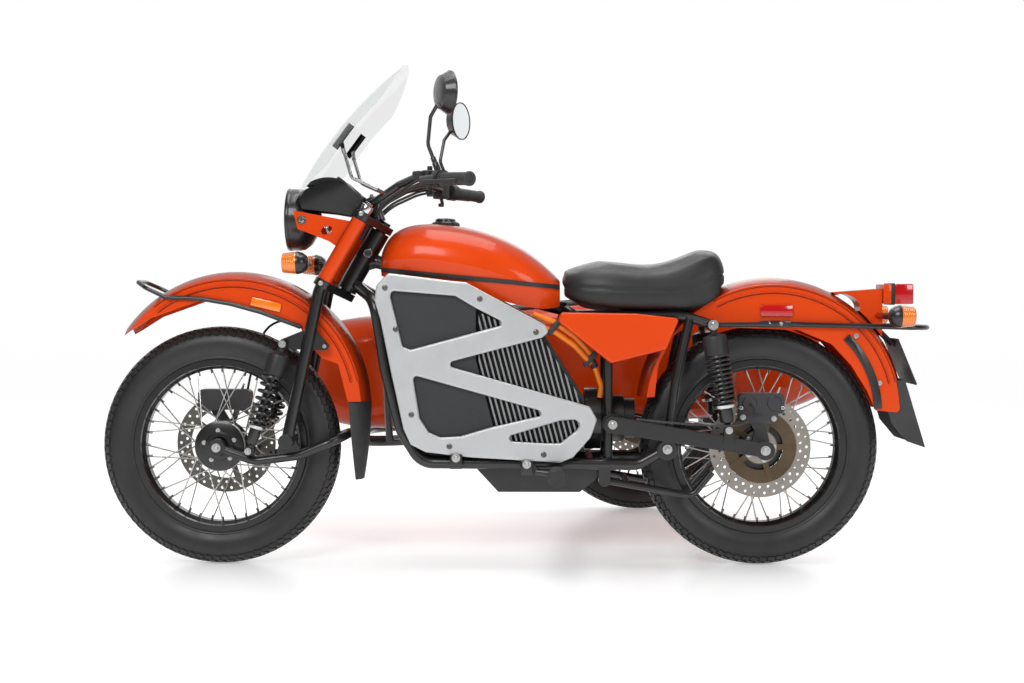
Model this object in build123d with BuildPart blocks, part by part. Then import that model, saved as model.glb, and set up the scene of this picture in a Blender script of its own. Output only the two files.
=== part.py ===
from build123d import *
import os
from math import cos, radians, sin, sqrt

os.makedirs("parts", exist_ok=True)

# A motorcycle with a sidecar on its right-hand side, +X to the rear, +Y to the right, +Z up.
# Stations are given from the front axle (x), the bike's centre plane (y) and the ground (z),
# and at() moves them to the part's origin, under the middle of the whole machine.

# ---------------------------------------------------------------- driving dimensions
wheelbase = 1500.0
track = 1140.0
sidecar_wheel_lead = 259.0
tyre_radius = 332.0
tyre_width = 100.0
rim_flange_radius = 241.0
rim_bed_radius = 229.0
rim_inner_radius = 214.0
rim_width = 82.0
rim_wall = 4.0
hub_radius = 36.0
hub_half_width = 50.0
spoke_flange_radius = 66.0
spoke_flange_thickness = 8.0
spoke_flange_y = 32.0
spoke_count = 40
spoke_radius = 1.9
spoke_lean = 42.0
axle_radius = 10.0
pin_clearance = 0.3
seat_gap = 0.3

disc_radius = 140.0
disc_band = 40.0
disc_thickness = 5.0
disc_arms = 5
disc_holes = 30
disc_hole_radius = 4.0

steering_foot = (359.0, 783.0)
rake = 30.4
fork_offset = 55.0
fork_spread = 100.0
leg_spread = 122.0
leg_radius = 16.5
shroud_radius = 22.0
lower_yoke_from = -42.0
upper_yoke_from = 172.0
yoke_thickness = 20.0
stem_radius = 16.0
head_radius = 28.0

link_spread = 88.0
link_tube = 12.5
link_pivot = (197.0, 353.0)
link_loop_x = 355.0

bar_radius = 11.1
bar_half_width = 420.0
grip_radius = 17.0
headlight_radius = 87.0
headlight_face_x = 188.0
headlight_z = 962.0
headlight_depth = 92.0

mudguard_half_width = 75.0
rear_mudguard_half_width = 85.0
sheet = 3.0

frame_half_width = 118.0
frame_tube = 16.0
rail_tube = 13.0
cover_face_y = 155.0
cover_thickness = 12.0
cover_rounding = 3.5
battery_half_width = 100.0
panel_half_width = 138.0

swingarm_spread = 150.0
swingarm_thickness = 26.0
swingarm_pivot = (1087.0, 402.0)
rear_shock_top = (1357.0, 672.0)
rear_shock_foot_x = 1401.0
spring_radius = 31.0
front_spring_radius = 26.0
shock_rod = 8.0
spring_coils = 9

rear_rail_end = 1967.0
rear_rail_tube = 7.0

tub_left = 365.0
tub_right = 950.0
tub_wall = 4.0
sidecar_rail_y = 345.0
sidecar_outer_rail_y = 880.0
sidecar_arm_y = 1035.0
lid_gap = 5.5

stand_pivot = (1067.0, 245.0)
stand_spread = 108.0
stand_tube = 9.5
stand_boss_half = 12.0
stand_bracket = 6.0
stand_pin = 8.0

# ---------------------------------------------------------------- places worked out
origin_x = (tyre_radius - rear_rail_end) / 2
origin_y = (bar_half_width - track - mudguard_half_width) / 2
sidecar_axle_x = wheelbase - sidecar_wheel_lead
tub_middle = (tub_left + tub_right) / 2


def at(x, y, z):
    """A point from the front axle, the bike's centre plane and the ground."""
    return Vector(x + origin_x, y + origin_y, z)


def side_plane(y):
    """A side-view plane: local x to the rear, local y up, extrusion to the left."""
    return Plane(origin=at(0, y, 0), x_dir=(1, 0, 0), z_dir=(0, -1, 0))


def cross_plane(x, y=0.0):
    """A cross-section plane: local x to the right, local y up, extrusion to the rear."""
    return Plane(origin=at(x, y, 0), x_dir=(0, 1, 0), z_dir=(1, 0, 0))


def radial_plane(centre):
    """A plane through a cross axle: local x is the radius, local y runs across."""
    return Plane(origin=centre, x_dir=(1, 0, 0), z_dir=(0, 0, 1))


def bar(points, radius, bend=0.0, mode=Mode.ADD):
    """Add or cut a round bar along straight runs, joined by bends."""
    with BuildLine() as route:
        if len(points) > 2:
            FilletPolyline(*points, radius=bend)
        else:
            Line(*points)
    with BuildSketch(Plane(origin=route.line @ 0, z_dir=route.line % 0)) as section:
        Circle(radius)
    sweep(sections=section.sketch, path=route.line, mode=mode)


def pin(x, z, y_from, y_to, radius, mode=Mode.ADD):
    """Add or cut a round pin that runs across the machine."""
    with BuildSketch(side_plane(y_from)) as section:
        with Locations((x, z)):
            Circle(radius)
    extrude(section.sketch, amount=y_from - y_to, mode=mode)


def plate(outline, y_from, y_to, mode=Mode.ADD):
    """Add or cut a flat plate of a side-view outline between two planes."""
    with BuildSketch(side_plane(y_from)) as section:
        Polygon(*outline, align=None)
    extrude(section.sketch, amount=y_from - y_to, mode=mode)


def lug(ends, radii, y_from, y_to, mode=Mode.ADD):
    """Add a flat link that tapers from one round end to the other."""
    with BuildSketch(side_plane(y_from)) as section:
        for end, radius in zip(ends, radii):
            with Locations(end):
                Circle(radius)
        make_hull()
    extrude(section.sketch, amount=y_from - y_to, mode=mode)


bike_plane = Plane(origin=at(0, 0, 0), z_dir=(0, 1, 0))
front_axle = at(0, 0, tyre_radius)
rear_axle = at(wheelbase, 0, tyre_radius)
sidecar_axle = at(sidecar_axle_x, track, tyre_radius)

# Steering axis: a height along it, an offset ahead of it and a spread to each side.
axis_x = sin(radians(rake))
axis_z = cos(radians(rake))
steering_dir = Vector(axis_x, 0, axis_z)


def on_fork(height, ahead=0.0, spread=0.0):
    """A point by its height along the steering axis, how far ahead of it, and sideways."""
    return at(
        steering_foot[0] + height * axis_x - ahead * axis_z,
        spread,
        steering_foot[1] + height * axis_z + ahead * axis_x,
    )


def yoke_plane(height):
    """A plane square to the steering axis: local x to the right, local y ahead."""
    return Plane(origin=on_fork(height), x_dir=(0, 1, 0), z_dir=steering_dir)


# ---------------------------------------------------------------- wheels
tyre_bead = rim_bed_radius + seat_gap
tyre_bead_half = rim_width / 2 - rim_wall - seat_gap
tyre_half = tyre_width / 2
bulge_radius = (rim_flange_radius + tyre_radius) / 2
# half of the section from the bead out to the middle of the tread: radius, half width
tyre_profile = (
    (tyre_bead, tyre_bead_half),
    (rim_flange_radius + 1, tyre_bead_half),
    (bulge_radius, tyre_half),
    (tyre_radius - 17, tyre_half - 6),
    (tyre_radius - 5, tyre_half - 22),
    (tyre_radius, tyre_half - 40),
)
with BuildPart() as tyre:
    with BuildSketch(Plane.XY):
        with BuildLine():
            Polyline(*tyre_profile, *[(radius, -half) for radius, half in reversed(tyre_profile)], close=True)
        make_face()
    revolve(axis=Axis.Y)

rim_half = rim_width / 2
rim_step = rim_half - 10
rim_well_half = 15.0
spoke_rim_y = 6.0
spoke_hub_radius = spoke_flange_radius - 6
spoke_rim_radius = rim_inner_radius + 5


def spoke_end(radius, angle, y):
    """A point on a circle about the wheel's axle."""
    return Vector(radius * cos(radians(angle)), y, radius * sin(radians(angle)))


spoke_planes = []
spoke_length = 0.0
for side in (-1, 1):
    for lean in (-1, 1):
        for index in range(spoke_count // 4):
            # the four sets take turns round the rim, one quarter pitch apart
            rim_angle = 360 / spoke_count * (4 * index + (lean + 1) + (side + 1) / 2)
            start = spoke_end(spoke_hub_radius, rim_angle - lean * spoke_lean, side * spoke_flange_y)
            end = spoke_end(spoke_rim_radius, rim_angle, side * spoke_rim_y)
            spoke_planes.append(Plane(origin=start, z_dir=end - start))
            spoke_length = (end - start).length

with BuildPart() as spoked_wheel:
    with BuildSketch(Plane.XY):
        with BuildLine():
            Polyline(
                (rim_inner_radius, -rim_well_half),
                (rim_inner_radius, rim_well_half),
                (rim_bed_radius - 7, rim_step),
                (rim_bed_radius - 5, rim_half),
                (rim_flange_radius, rim_half),
                (rim_flange_radius, rim_half - rim_wall),
                (rim_bed_radius, rim_half - rim_wall),
                (rim_bed_radius, -rim_half + rim_wall),
                (rim_flange_radius, -rim_half + rim_wall),
                (rim_flange_radius, -rim_half),
                (rim_bed_radius - 5, -rim_half),
                (rim_bed_radius - 7, -rim_step),
                close=True,
            )
        make_face()
    revolve(axis=Axis.Y)
    flange_outer_y = spoke_flange_y + spoke_flange_thickness / 2
    flange_inner_y = spoke_flange_y - spoke_flange_thickness / 2
    with BuildSketch(Plane.XY):
        with BuildLine():
            Polyline(
                (axle_radius + pin_clearance, -hub_half_width),
                (hub_radius, -hub_half_width),
                (hub_radius, -flange_outer_y),
                (spoke_flange_radius, -flange_outer_y),
                (spoke_flange_radius, -flange_inner_y),
                (hub_radius, -flange_inner_y + 6),
                (hub_radius, flange_inner_y - 6),
                (spoke_flange_radius, flange_inner_y),
                (spoke_flange_radius, flange_outer_y),
                (hub_radius, flange_outer_y),
                (hub_radius, hub_half_width),
                (axle_radius + pin_clearance, hub_half_width),
                close=True,
            )
        make_face()
    revolve(axis=Axis.Y)
    with BuildSketch(*spoke_planes):
        RegularPolygon(spoke_radius, 6)
    extrude(amount=spoke_length)

disc_hub_radius = hub_radius + 12
with BuildPart() as brake_disc:
    with BuildSketch(Plane.XZ):
        Circle(disc_radius)
        Circle(disc_radius - disc_band, mode=Mode.SUBTRACT)
        Circle(disc_hub_radius)
        with PolarLocations((disc_hub_radius + disc_radius - disc_band) / 2, disc_arms):
            Rectangle(disc_radius - disc_band - disc_hub_radius + 14, 16)
        Circle(axle_radius + 8, mode=Mode.SUBTRACT)
        with PolarLocations(disc_radius - disc_band * 0.28, disc_holes):
            Circle(disc_hole_radius, mode=Mode.SUBTRACT)
        with PolarLocations(disc_radius - disc_band * 0.7, disc_holes, start_angle=180 / disc_holes):
            Circle(disc_hole_radius, mode=Mode.SUBTRACT)
    extrude(amount=disc_thickness)

# name, axle, side that the disc is on (-1 left, 1 right)
wheel_sets = (
    ("front", front_axle, 1),
    ("rear", rear_axle, -1),
    ("sidecar", sidecar_axle, -1),
)
hub_cover_radius = 70.0
hub_cover_thickness = 16.0
for name, axle, disc_side in wheel_sets:
    with BuildPart() as placed_tyre:
        with Locations(axle):
            add(tyre.part)
    placed_tyre.part.label = name + "_tyre"
    export_step(placed_tyre.part, "parts/" + name + "_tyre.step")

    with BuildPart() as placed_wheel:
        with Locations(axle):
            add(spoked_wheel.part)
        if name != "rear":
            cover_y = axle.Y - origin_y - disc_side * hub_half_width
            cover_in = cover_y + disc_side * hub_cover_thickness
            pin(axle.X - origin_x, axle.Z, cover_y, cover_in, hub_cover_radius)
            bore = axle_radius + pin_clearance
            pin(axle.X - origin_x, axle.Z, cover_y, cover_in, bore, mode=Mode.SUBTRACT)
    placed_wheel.part.label = name + "_wheel"
    export_step(placed_wheel.part, "parts/" + name + "_wheel.step")

    disc_seat = hub_half_width + (disc_thickness if disc_side > 0 else 0)
    with BuildPart() as placed_disc:
        with Locations(axle + Vector(0, disc_side * disc_seat, 0)):
            add(brake_disc.part)
    placed_disc.part.label = name + "_disc"
    export_step(placed_disc.part, "parts/" + name + "_disc.step")

# ---------------------------------------------------------------- front fork
upper_yoke_top = upper_yoke_from + yoke_thickness
shroud_from = lower_yoke_from + yoke_thickness + 2
shroud_to = upper_yoke_from - 2
leg_knee = (276.0, 761.0)
leg_foot = (197.0, 345.0)
arm_outer_y = link_spread + link_tube + 3
pivot_radius = 9.0
front_shock_y = leg_spread
front_shock_top = (189.0, 619.0)
front_shock_foot = (94.0, 326.0)
shock_eye = 12.0
shock_pin = 6.0
shock_eye_width = 22.0
guard_mount = (300.0, 612.0)
guard_skirt_y = mudguard_half_width + seat_gap

with BuildPart() as fork_legs:
    for height in (lower_yoke_from, upper_yoke_from):
        with BuildSketch(yoke_plane(height)):
            with Locations((-fork_spread, fork_offset), (fork_spread, fork_offset)):
                Circle(leg_radius + 8)
            with Locations((0, 0)):
                Circle(head_radius + 2)
            make_hull()
        extrude(amount=yoke_thickness)
    bar([on_fork(lower_yoke_from), on_fork(upper_yoke_top + 8)], stem_radius)
    for side in (-1, 1):
        leg_route = [
            on_fork(upper_yoke_top + 6, fork_offset, side * fork_spread),
            on_fork(lower_yoke_from - 8, fork_offset, side * fork_spread),
            at(leg_foot[0], side * leg_spread, leg_foot[1]),
        ]
        bar(leg_route, leg_radius, 60)
        shock_out = side * (front_shock_y + shock_eye_width / 2 + 4)
        lug(
            (front_shock_top, (leg_knee[0] - 14, 640), guard_mount),
            (14, 22, 12),
            side * (front_shock_y - shock_eye_width / 2 - 11),
            side * (front_shock_y - shock_eye_width / 2 - 6),
        )
        pin(*front_shock_top, side * (front_shock_y - shock_eye_width / 2 - 11), shock_out, shock_pin)
        pin(*guard_mount, side * (front_shock_y - shock_eye_width / 2 - 8), side * guard_skirt_y, 10)
        pin(*link_pivot, side * (leg_spread + leg_radius + 6), side * (arm_outer_y + 1), 20)
        pin(*link_pivot, side * arm_outer_y, side * (link_spread - link_tube - 3), pivot_radius)
fork_legs.part.label = "fork_legs"
export_step(fork_legs.part, "parts/fork_legs.step")

# leading link: two arms from the axle, under the pivots, joined by a loop behind the tyre
link_low = (105.0, 294.0)
link_rise = (226.0, 310.0)
link_loop_z = 364.0
with BuildPart() as fork_link:
    half_route = ((0, tyre_radius), link_low, link_rise, (link_loop_x, link_loop_z))
    route = [at(x, -link_spread, z) for x, z in half_route]
    route += [at(x, link_spread, z) for x, z in reversed(half_route)]
    bar(route, link_tube, [80, 90, 66, 66, 90, 80])
    for side in (-1, 1):
        inner = side * (link_spread - link_tube)
        outer = side * (link_spread + link_tube)
        pin(0, tyre_radius, inner - side, outer + side, 24)
        web = (link_pivot, (170, 304), (226, 314))
        lug(web, (20, 9, 9), side * (link_spread - 6), side * (link_spread + 6))
        pin(*link_pivot, inner - side, outer + side, 20)
        pin(*link_pivot, side * 60, side * 110, pivot_radius + pin_clearance, mode=Mode.SUBTRACT)
        lug((front_shock_foot, (94, 302)), (14, 9), side * (link_spread - 5), side * (link_spread + 5))
        shock_end = side * (front_shock_y + shock_eye_width / 2 + 4)
        pin(*front_shock_foot, side * link_spread, shock_end, shock_pin)
        pin(0, tyre_radius, side * (hub_half_width + 11), inner, axle_radius + 6)
    pin(0, tyre_radius, -link_spread, link_spread, axle_radius)
fork_link.part.label = "fork_link"
export_step(fork_link.part, "parts/fork_link.step")


def shock(foot, top, y, coil_radius, cover_share):
    """Add a spring and damper between two eyes, standing in the plane at y."""
    span = sqrt((top[0] - foot[0]) ** 2 + (top[1] - foot[1]) ** 2)
    lean_x = (top[0] - foot[0]) / span
    lean_z = (top[1] - foot[1]) / span
    base = shock_eye + 16
    cover_from = span * (1 - cover_share)
    pitch = (cover_from - base) / spring_coils
    # local x runs across the damper, local y up it
    half = Plane(origin=at(foot[0], y, foot[1]), x_dir=(0, 1, 0), z_dir=(lean_z, 0, -lean_x))
    profile = [(0, shock_eye - 3), (shock_rod + 2, shock_eye - 3), (shock_rod + 2, base - 5)]
    profile += [(coil_radius, base - 5), (coil_radius, base - 1)]
    for turn in range(spring_coils):
        profile.append((coil_radius - 9, base + pitch * turn))
        profile.append((coil_radius, base + pitch * (turn + 0.3)))
        profile.append((coil_radius, base + pitch * (turn + 0.7)))
    profile += [(coil_radius - 9, cover_from), (coil_radius + 2, cover_from)]
    profile += [(coil_radius + 2, span - shock_eye - 26), (shock_rod + 2, span - shock_eye - 14)]
    profile += [(shock_rod + 2, span - shock_eye + 3), (0, span - shock_eye + 3)]
    with BuildSketch(half) as section:
        Polygon(*profile, align=None)
    revolve(section.sketch, axis=Axis(half.origin, half.y_dir))
    for eye in (foot, top):
        pin(*eye, y - shock_eye_width / 2, y + shock_eye_width / 2, shock_eye)
        pin(*eye, y - shock_eye_width, y + shock_eye_width, shock_pin + 0.2, mode=Mode.SUBTRACT)


with BuildPart() as front_shocks:
    shock(front_shock_foot, front_shock_top, -front_shock_y, front_spring_radius, 0.3)
    mirror(about=bike_plane)
front_shocks.part.label = "front_shocks"
export_step(front_shocks.part, "parts/front_shocks.step")

# painted shrouds round the upper tubes, each with an ear that carries the headlight
ear_y = headlight_radius + 6
ear_thickness = 4.0
ear_bolt = (238.0, 958.0)
with BuildPart() as fork_shrouds:
    shroud_foot = on_fork(shroud_from, fork_offset, -fork_spread)
    shroud_head = on_fork(shroud_to, fork_offset, -fork_spread)
    bar([shroud_foot, shroud_head], shroud_radius)
    with BuildSketch(side_plane(-ear_y)) as ear:
        Polygon((214, 984), (300, 968), (398, 950), (352, 872), (312, 900), (226, 934), align=None)
        with Locations((306, 930)):
            Ellipse(16, 11, rotation=25, mode=Mode.SUBTRACT)
    extrude(ear.sketch, amount=ear_thickness)
    bar([shroud_foot, shroud_head], leg_radius + seat_gap, mode=Mode.SUBTRACT)
    mirror(about=bike_plane)
fork_shrouds.part.label = "fork_shrouds"
export_step(fork_shrouds.part, "parts/fork_shrouds.step")

pad_half_gap = 5.0
front_caliper_y = hub_half_width + disc_thickness / 2
with BuildPart() as front_caliper:
    # two halves across the disc, bolted to a bracket from the right-hand link arm
    with BuildSketch(side_plane(front_caliper_y - 20)) as body:
        with Locations((-2, tyre_radius + 124)):
            RectangleRounded(150, 58, 14)
    extrude(body.sketch, amount=-40)
    pad_slot = ((-90, 380), (90, 380), (90, 475), (-90, 475))
    plate(pad_slot, front_caliper_y - pad_half_gap, front_caliper_y + pad_half_gap, Mode.SUBTRACT)
    hanger = ((-40, tyre_radius + 112), (0, tyre_radius + 45))
    lug(hanger, (16, 16), front_caliper_y + 8, link_spread - link_tube - 2)
    pin(0, tyre_radius, link_spread - 30, link_spread, axle_radius + 7, mode=Mode.SUBTRACT)
front_caliper.part.label = "front_caliper"
export_step(front_caliper.part, "parts/front_caliper.step")

# ---------------------------------------------------------------- handlebar
bar_clamp = (425.0, 1002.0)
clamp_spread = 45.0
grip_start = (620.0, 285.0, 1057.0)
grip_end = (712.0, bar_half_width - 10, 1049.0)
with BuildPart() as handlebar:
    half_bar = ((bar_clamp[0], 62, bar_clamp[1]), (507, 112, 1052), (562, 175, 1070), grip_start, grip_end)
    route = [at(x, -y, z) for x, y, z in reversed(half_bar)]
    route += [at(x, y, z) for x, y, z in half_bar]
    bar(route, bar_radius, [60, 60, 28, 24, 24, 28, 60, 60])
    for side in (-1, 1):
        riser_foot = on_fork(upper_yoke_top + seat_gap, 18, side * clamp_spread)
        bar([riser_foot, at(bar_clamp[0], side * clamp_spread, bar_clamp[1])], 16)
        pin(*bar_clamp, side * (clamp_spread - 15), side * (clamp_spread + 15), 20)
    add(fork_legs.part, mode=Mode.SUBTRACT)
handlebar.part.label = "handlebar"
export_step(handlebar.part, "parts/handlebar.step")


def along_grip(share, side=-1):
    """A point on the grip's centre line, from its inner end to its outer end."""
    x, y, z = [a + (b - a) * share for a, b in zip(grip_start, grip_end)]
    return at(x, side * y, z)


grip_clearance = 0.2
with BuildPart() as grips:
    bar([along_grip(0.2), along_grip(1)], grip_radius)
    bar([along_grip(-0.4), along_grip(1.2)], bar_radius + grip_clearance, mode=Mode.SUBTRACT)
    mirror(about=bike_plane)
grips.part.label = "grips"
export_step(grips.part, "parts/grips.step")

with BuildPart() as bar_controls:
    bar([along_grip(0.02), along_grip(0.18)], 24)
    bar([along_grip(0.1) + Vector(-14, -6, 0), along_grip(0.1) + Vector(-52, -10, -6)], 12)
    lever = [along_grip(0.1) + Vector(-50, -6, -5), along_grip(0.35) + Vector(-60, -10, -8)]
    lever += [along_grip(1.05) + Vector(-40, -10, -6)]
    bar(lever, 6, 50)
    bar([along_grip(-0.4), along_grip(0.4)], bar_radius + grip_clearance, mode=Mode.SUBTRACT)
    mirror(about=bike_plane)
bar_controls.part.label = "bar_controls"
export_step(bar_controls.part, "parts/bar_controls.step")

mirror_half_width = 64.0
mirror_half_height = 56.0
mirror_centre = (646.0, bar_half_width - mirror_half_width, 1274.0)
mirror_turn = 22.0
mirror_rim = 8.0
mirror_back = -16.0
mirror_glass = 2.0
mirror_stem = 5.0


def mirror_plane(ahead):
    """A plane of the left-hand mirror, turned in towards the rider and moved along the way it faces."""
    facing = Vector(cos(radians(mirror_turn)), sin(radians(mirror_turn)), 0)
    across = Vector(-sin(radians(mirror_turn)), cos(radians(mirror_turn)), 0)
    centre = at(mirror_centre[0], -mirror_centre[1], mirror_centre[2])
    return Plane(origin=centre + facing * ahead, x_dir=across, z_dir=facing)


with BuildPart() as mirrors:
    stem = [along_grip(0.05) + Vector(0, 0, 18), along_grip(0.0) + Vector(-24, 4, 90)]
    stem += [at(606, 30 - mirror_centre[1], 1215)]
    stem += [at(mirror_centre[0] - mirror_rim, -mirror_centre[1], mirror_centre[2] - 10)]
    bar(stem, mirror_stem, 20)
    add(bar_controls.part, mode=Mode.SUBTRACT)
    faces = []
    for ahead, shrink in ((mirror_rim, 0), (mirror_back, 14)):
        with BuildSketch(mirror_plane(ahead)) as head:
            Ellipse(mirror_half_width - shrink, mirror_half_height - shrink)
        faces.append(head.sketch.face())
    loft(sections=faces)
    with BuildSketch(mirror_plane(mirror_rim + seat_gap)) as glass:
        Ellipse(mirror_half_width - 3, mirror_half_height - 3)
    extrude(glass.sketch, amount=mirror_glass)
    mirror(about=bike_plane)
mirrors.part.label = "mirrors"
export_step(mirrors.part, "parts/mirrors.step")

# ---------------------------------------------------------------- headlight, cowl, screen
headlight_axis = Axis(at(0, 0, headlight_z), (1, 0, 0))
headlight_back_x = headlight_face_x + headlight_depth
lens_depth = 10.0
headlight_plane = Plane(origin=at(0, 0, headlight_z), x_dir=(1, 0, 0), z_dir=(0, -1, 0))
lens_seat_x = headlight_face_x + lens_depth
lens_radius = headlight_radius - 6 - seat_gap
lens_back = lens_seat_x - seat_gap
boss_radius = 16.0
with BuildPart() as headlight:
    with BuildSketch(headlight_plane):
        with BuildLine():
            Polyline(
                (headlight_back_x, 0),
                (lens_seat_x, 0),
                (lens_seat_x, headlight_radius - 6),
                (headlight_face_x, headlight_radius - 6),
                (headlight_face_x + 3, headlight_radius),
                (headlight_face_x + 30, headlight_radius),
            )
            ThreePointArc(
                (headlight_face_x + 30, headlight_radius),
                (headlight_back_x - 24, headlight_radius * 0.66),
                (headlight_back_x, boss_radius),
            )
            Line((headlight_back_x, boss_radius), (headlight_back_x, 0))
        make_face()
    revolve(axis=headlight_axis)
    for side in (-1, 1):
        pin(*ear_bolt, side * (headlight_radius - 30), side * (ear_y - seat_gap), 9)
    with BuildSketch(headlight_plane):
        with BuildLine():
            Polyline(
                (headlight_face_x - 8, 0), (lens_back, 0),
                (lens_back, lens_radius), (lens_back - 6, lens_radius)
            )
            ThreePointArc(
                (lens_back - 6, lens_radius),
                (headlight_face_x - 4, lens_radius * 0.6),
                (headlight_face_x - 8, boss_radius),
            )
            Line((headlight_face_x - 8, boss_radius), (headlight_face_x - 8, 0))
        make_face()
    revolve(axis=headlight_axis)
headlight.part.label = "headlight"
export_step(headlight.part, "parts/headlight.step")

cowl_half_width = 82.0
cowl_chamfer = 4.0
cowl_floor = headlight_z + headlight_radius + 2
with BuildPart() as cowl:
    with BuildSketch(side_plane(-cowl_half_width)) as pod:
        with BuildLine():
            Line((248, cowl_floor), (260, 1064))
            ThreePointArc((260, 1064), (304, 1076), (352, 1066))
            Line((352, 1066), (392, 1028))
            Line((392, 1028), (372, 984))
            Line((372, 984), (290, 990))
            Line((290, 990), (290, cowl_floor))
            Line((290, cowl_floor), (248, cowl_floor))
        make_face()
    extrude(pod.sketch, amount=-2 * cowl_half_width)
    chamfer(cowl.faces().filter_by(Axis.Y).edges(), cowl_chamfer)
cowl.part.label = "cowl"
export_step(cowl.part, "parts/cowl.step")

# the screen is part of a surface of revolution, trimmed to a rounded outline
screen_foot = (211.0, 1021.0)
screen_mid = (354.0, 1237.0)
screen_top = (522.0, 1394.0)
screen_sheet = 3.0
screen_curve = 420.0
screen_half_width = 215.0
screen_span = sqrt((screen_top[0] - screen_foot[0]) ** 2 + (screen_top[1] - screen_foot[1]) ** 2)
screen_dir = Vector(screen_top[0] - screen_foot[0], 0, screen_top[1] - screen_foot[1]) / screen_span
screen_back = Vector(screen_dir.Z, 0, -screen_dir.X)
screen_axis_point = at(screen_foot[0], 0, screen_foot[1]) + screen_back * screen_curve
with BuildPart() as windscreen:
    with BuildSketch(side_plane(0)) as strip:
        with BuildLine():
            ThreePointArc(screen_foot, screen_mid, screen_top)
            offset(amount=screen_sheet, side=Side.RIGHT)
        make_face()
    revolve(strip.sketch, axis=Axis(screen_axis_point, screen_dir), revolution_arc=36)
    revolve(strip.sketch, axis=Axis(screen_axis_point, -screen_dir), revolution_arc=36)
    front_view = Plane(
        origin=at(screen_foot[0], 0, screen_foot[1]) - screen_back * 80,
        x_dir=(0, 1, 0),
        z_dir=screen_back,
    )
    with BuildSketch(front_view) as outline:
        with BuildLine():
            half = screen_half_width
            shoulder = screen_span * 0.72
            Line((-120, 2), (120, 2))
            Line((120, 2), (half, 130))
            Line((half, 130), (half - 8, shoulder))
            ThreePointArc((half - 8, shoulder), (0, screen_span - 1), (-half + 8, shoulder))
            Line((-half + 8, shoulder), (-half, 130))
            Line((-half, 130), (-120, 2))
        make_face()
    extrude(outline.sketch, amount=400, mode=Mode.INTERSECT)
    with BuildSketch(cross_plane(0)) as notch:
        with Locations((0, headlight_z)):
            Circle(headlight_radius + 6)
    extrude(notch.sketch, amount=500, mode=Mode.SUBTRACT)
windscreen.part.label = "windscreen"
export_step(windscreen.part, "parts/windscreen.step")

screen_mount_y = 120.0
with BuildPart() as windscreen_struts:
    bar(
        [at(449, -screen_mount_y, 1040), at(378, -screen_mount_y, 1072), at(358, -screen_mount_y, 1140)],
        5,
        18,
    )
    bar([at(449, -screen_mount_y, 1040), at(470, -92, 1028)], 5)
    bar([at(336, -150, 1150), at(382, -150, 1212)], 9)
    bar([at(358, -screen_mount_y, 1140), at(352, -150, 1172)], 6)
    mirror(about=bike_plane)
    add(handlebar.part, mode=Mode.SUBTRACT)
    add(windscreen.part, mode=Mode.SUBTRACT)
windscreen_struts.part.label = "windscreen_struts"
export_step(windscreen_struts.part, "parts/windscreen_struts.step")

# ---------------------------------------------------------------- front mudguard
front_guard_centre = (42.0, 441.0)
front_guard_radius = 376.0


def mudguard(middle, crown, half_width, skirt, side_outline):
    """Add a pressed mudguard: a crowned section swept about a cross axis, then trimmed."""
    shoulder = crown - 22
    with BuildSketch(radial_plane(middle)) as section:
        for wall, mode in ((0, Mode.ADD), (sheet, Mode.SUBTRACT)):
            with BuildLine() as profile:
                foot = crown - skirt - wall
                Line((foot, -half_width + wall), (shoulder, -half_width + wall))
                ThreePointArc(
                    (shoulder, -half_width + wall), (crown - wall, 0), (shoulder, half_width - wall)
                )
                Line((shoulder, half_width - wall), (foot, half_width - wall))
                Line((foot, half_width - wall), (foot, -half_width + wall))
            make_face(profile.edges(), mode=mode)
    revolve(section.sketch, axis=Axis(middle, (0, 1, 0)))
    with BuildSketch(side_plane(middle.Y - origin_y)) as trim:
        Polygon(*side_outline, align=None)
    extrude(trim.sketch, amount=half_width + 10, both=True, mode=Mode.INTERSECT)


front_guard_skirt = (
    (-260, 640), (-183, 689), (-45, 738), (37, 725), (120, 703), (230, 662), (262, 606),
    (290, 578), (334, 562), (360, 458), (430, 458), (440, 700), (100, 860), (-260, 860),
)
with BuildPart() as front_mudguard:
    mudguard(
        at(front_guard_centre[0], 0, front_guard_centre[1]),
        front_guard_radius,
        mudguard_half_width,
        130,
        front_guard_skirt,
    )
front_mudguard.part.label = "front_mudguard"
export_step(front_mudguard.part, "parts/front_mudguard.step")


def flap(sections):
    """Add a curved rubber flap through U-shaped sections (x at the crown, z, half width, depth)."""
    faces = []
    for crown_x, z, half_width, depth in sections:
        with BuildSketch(Plane(origin=at(crown_x, 0, z), x_dir=(1, 0, 0), z_dir=(0, 0, 1))) as hoop:
            with BuildLine():
                Line((-depth, -half_width), (-depth, -half_width + flap_sheet))
                ThreePointArc(
                    (-depth, -half_width + flap_sheet), (-flap_sheet, 0), (-depth, half_width - flap_sheet)
                )
                Line((-depth, half_width - flap_sheet), (-depth, half_width))
                ThreePointArc((-depth, half_width), (0, 0), (-depth, -half_width))
            make_face()
        faces.append(hoop.sketch.face())
    loft(sections=faces)


flap_sheet = 5.0
with BuildPart() as front_flap:
    flap(((419, 457, 72, 58), (413, 350, 66, 44), (398, 238, 46, 20)))
front_flap.part.label = "front_flap"
export_step(front_flap.part, "parts/front_flap.step")

rail_radius = 6.0
with BuildPart() as mudguard_rail:
    half_rail = [(232, 664), (122, 705), (38, 728), (-44, 742), (-140, 746), (-196, 772)]
    rail_y = mudguard_half_width + rail_radius + seat_gap
    route = [at(x, -rail_y, z) for x, z in half_rail]
    route += [at(-226, -46, 788), at(-226, 46, 788)]
    route += [at(x, rail_y, z) for x, z in reversed(half_rail)]
    bar(route, rail_radius, 24)
mudguard_rail.part.label = "mudguard_rail"
export_step(mudguard_rail.part, "parts/mudguard_rail.step")

# ---------------------------------------------------------------- turn signals
signal_radius = 30.0
signal_lens = 42.0
signal_back = 30.0
front_signal = (198.0, 190.0, 839.0)
rear_signal = (1898.0, 170.0, 695.0)
signal_stem = 8.0


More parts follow.
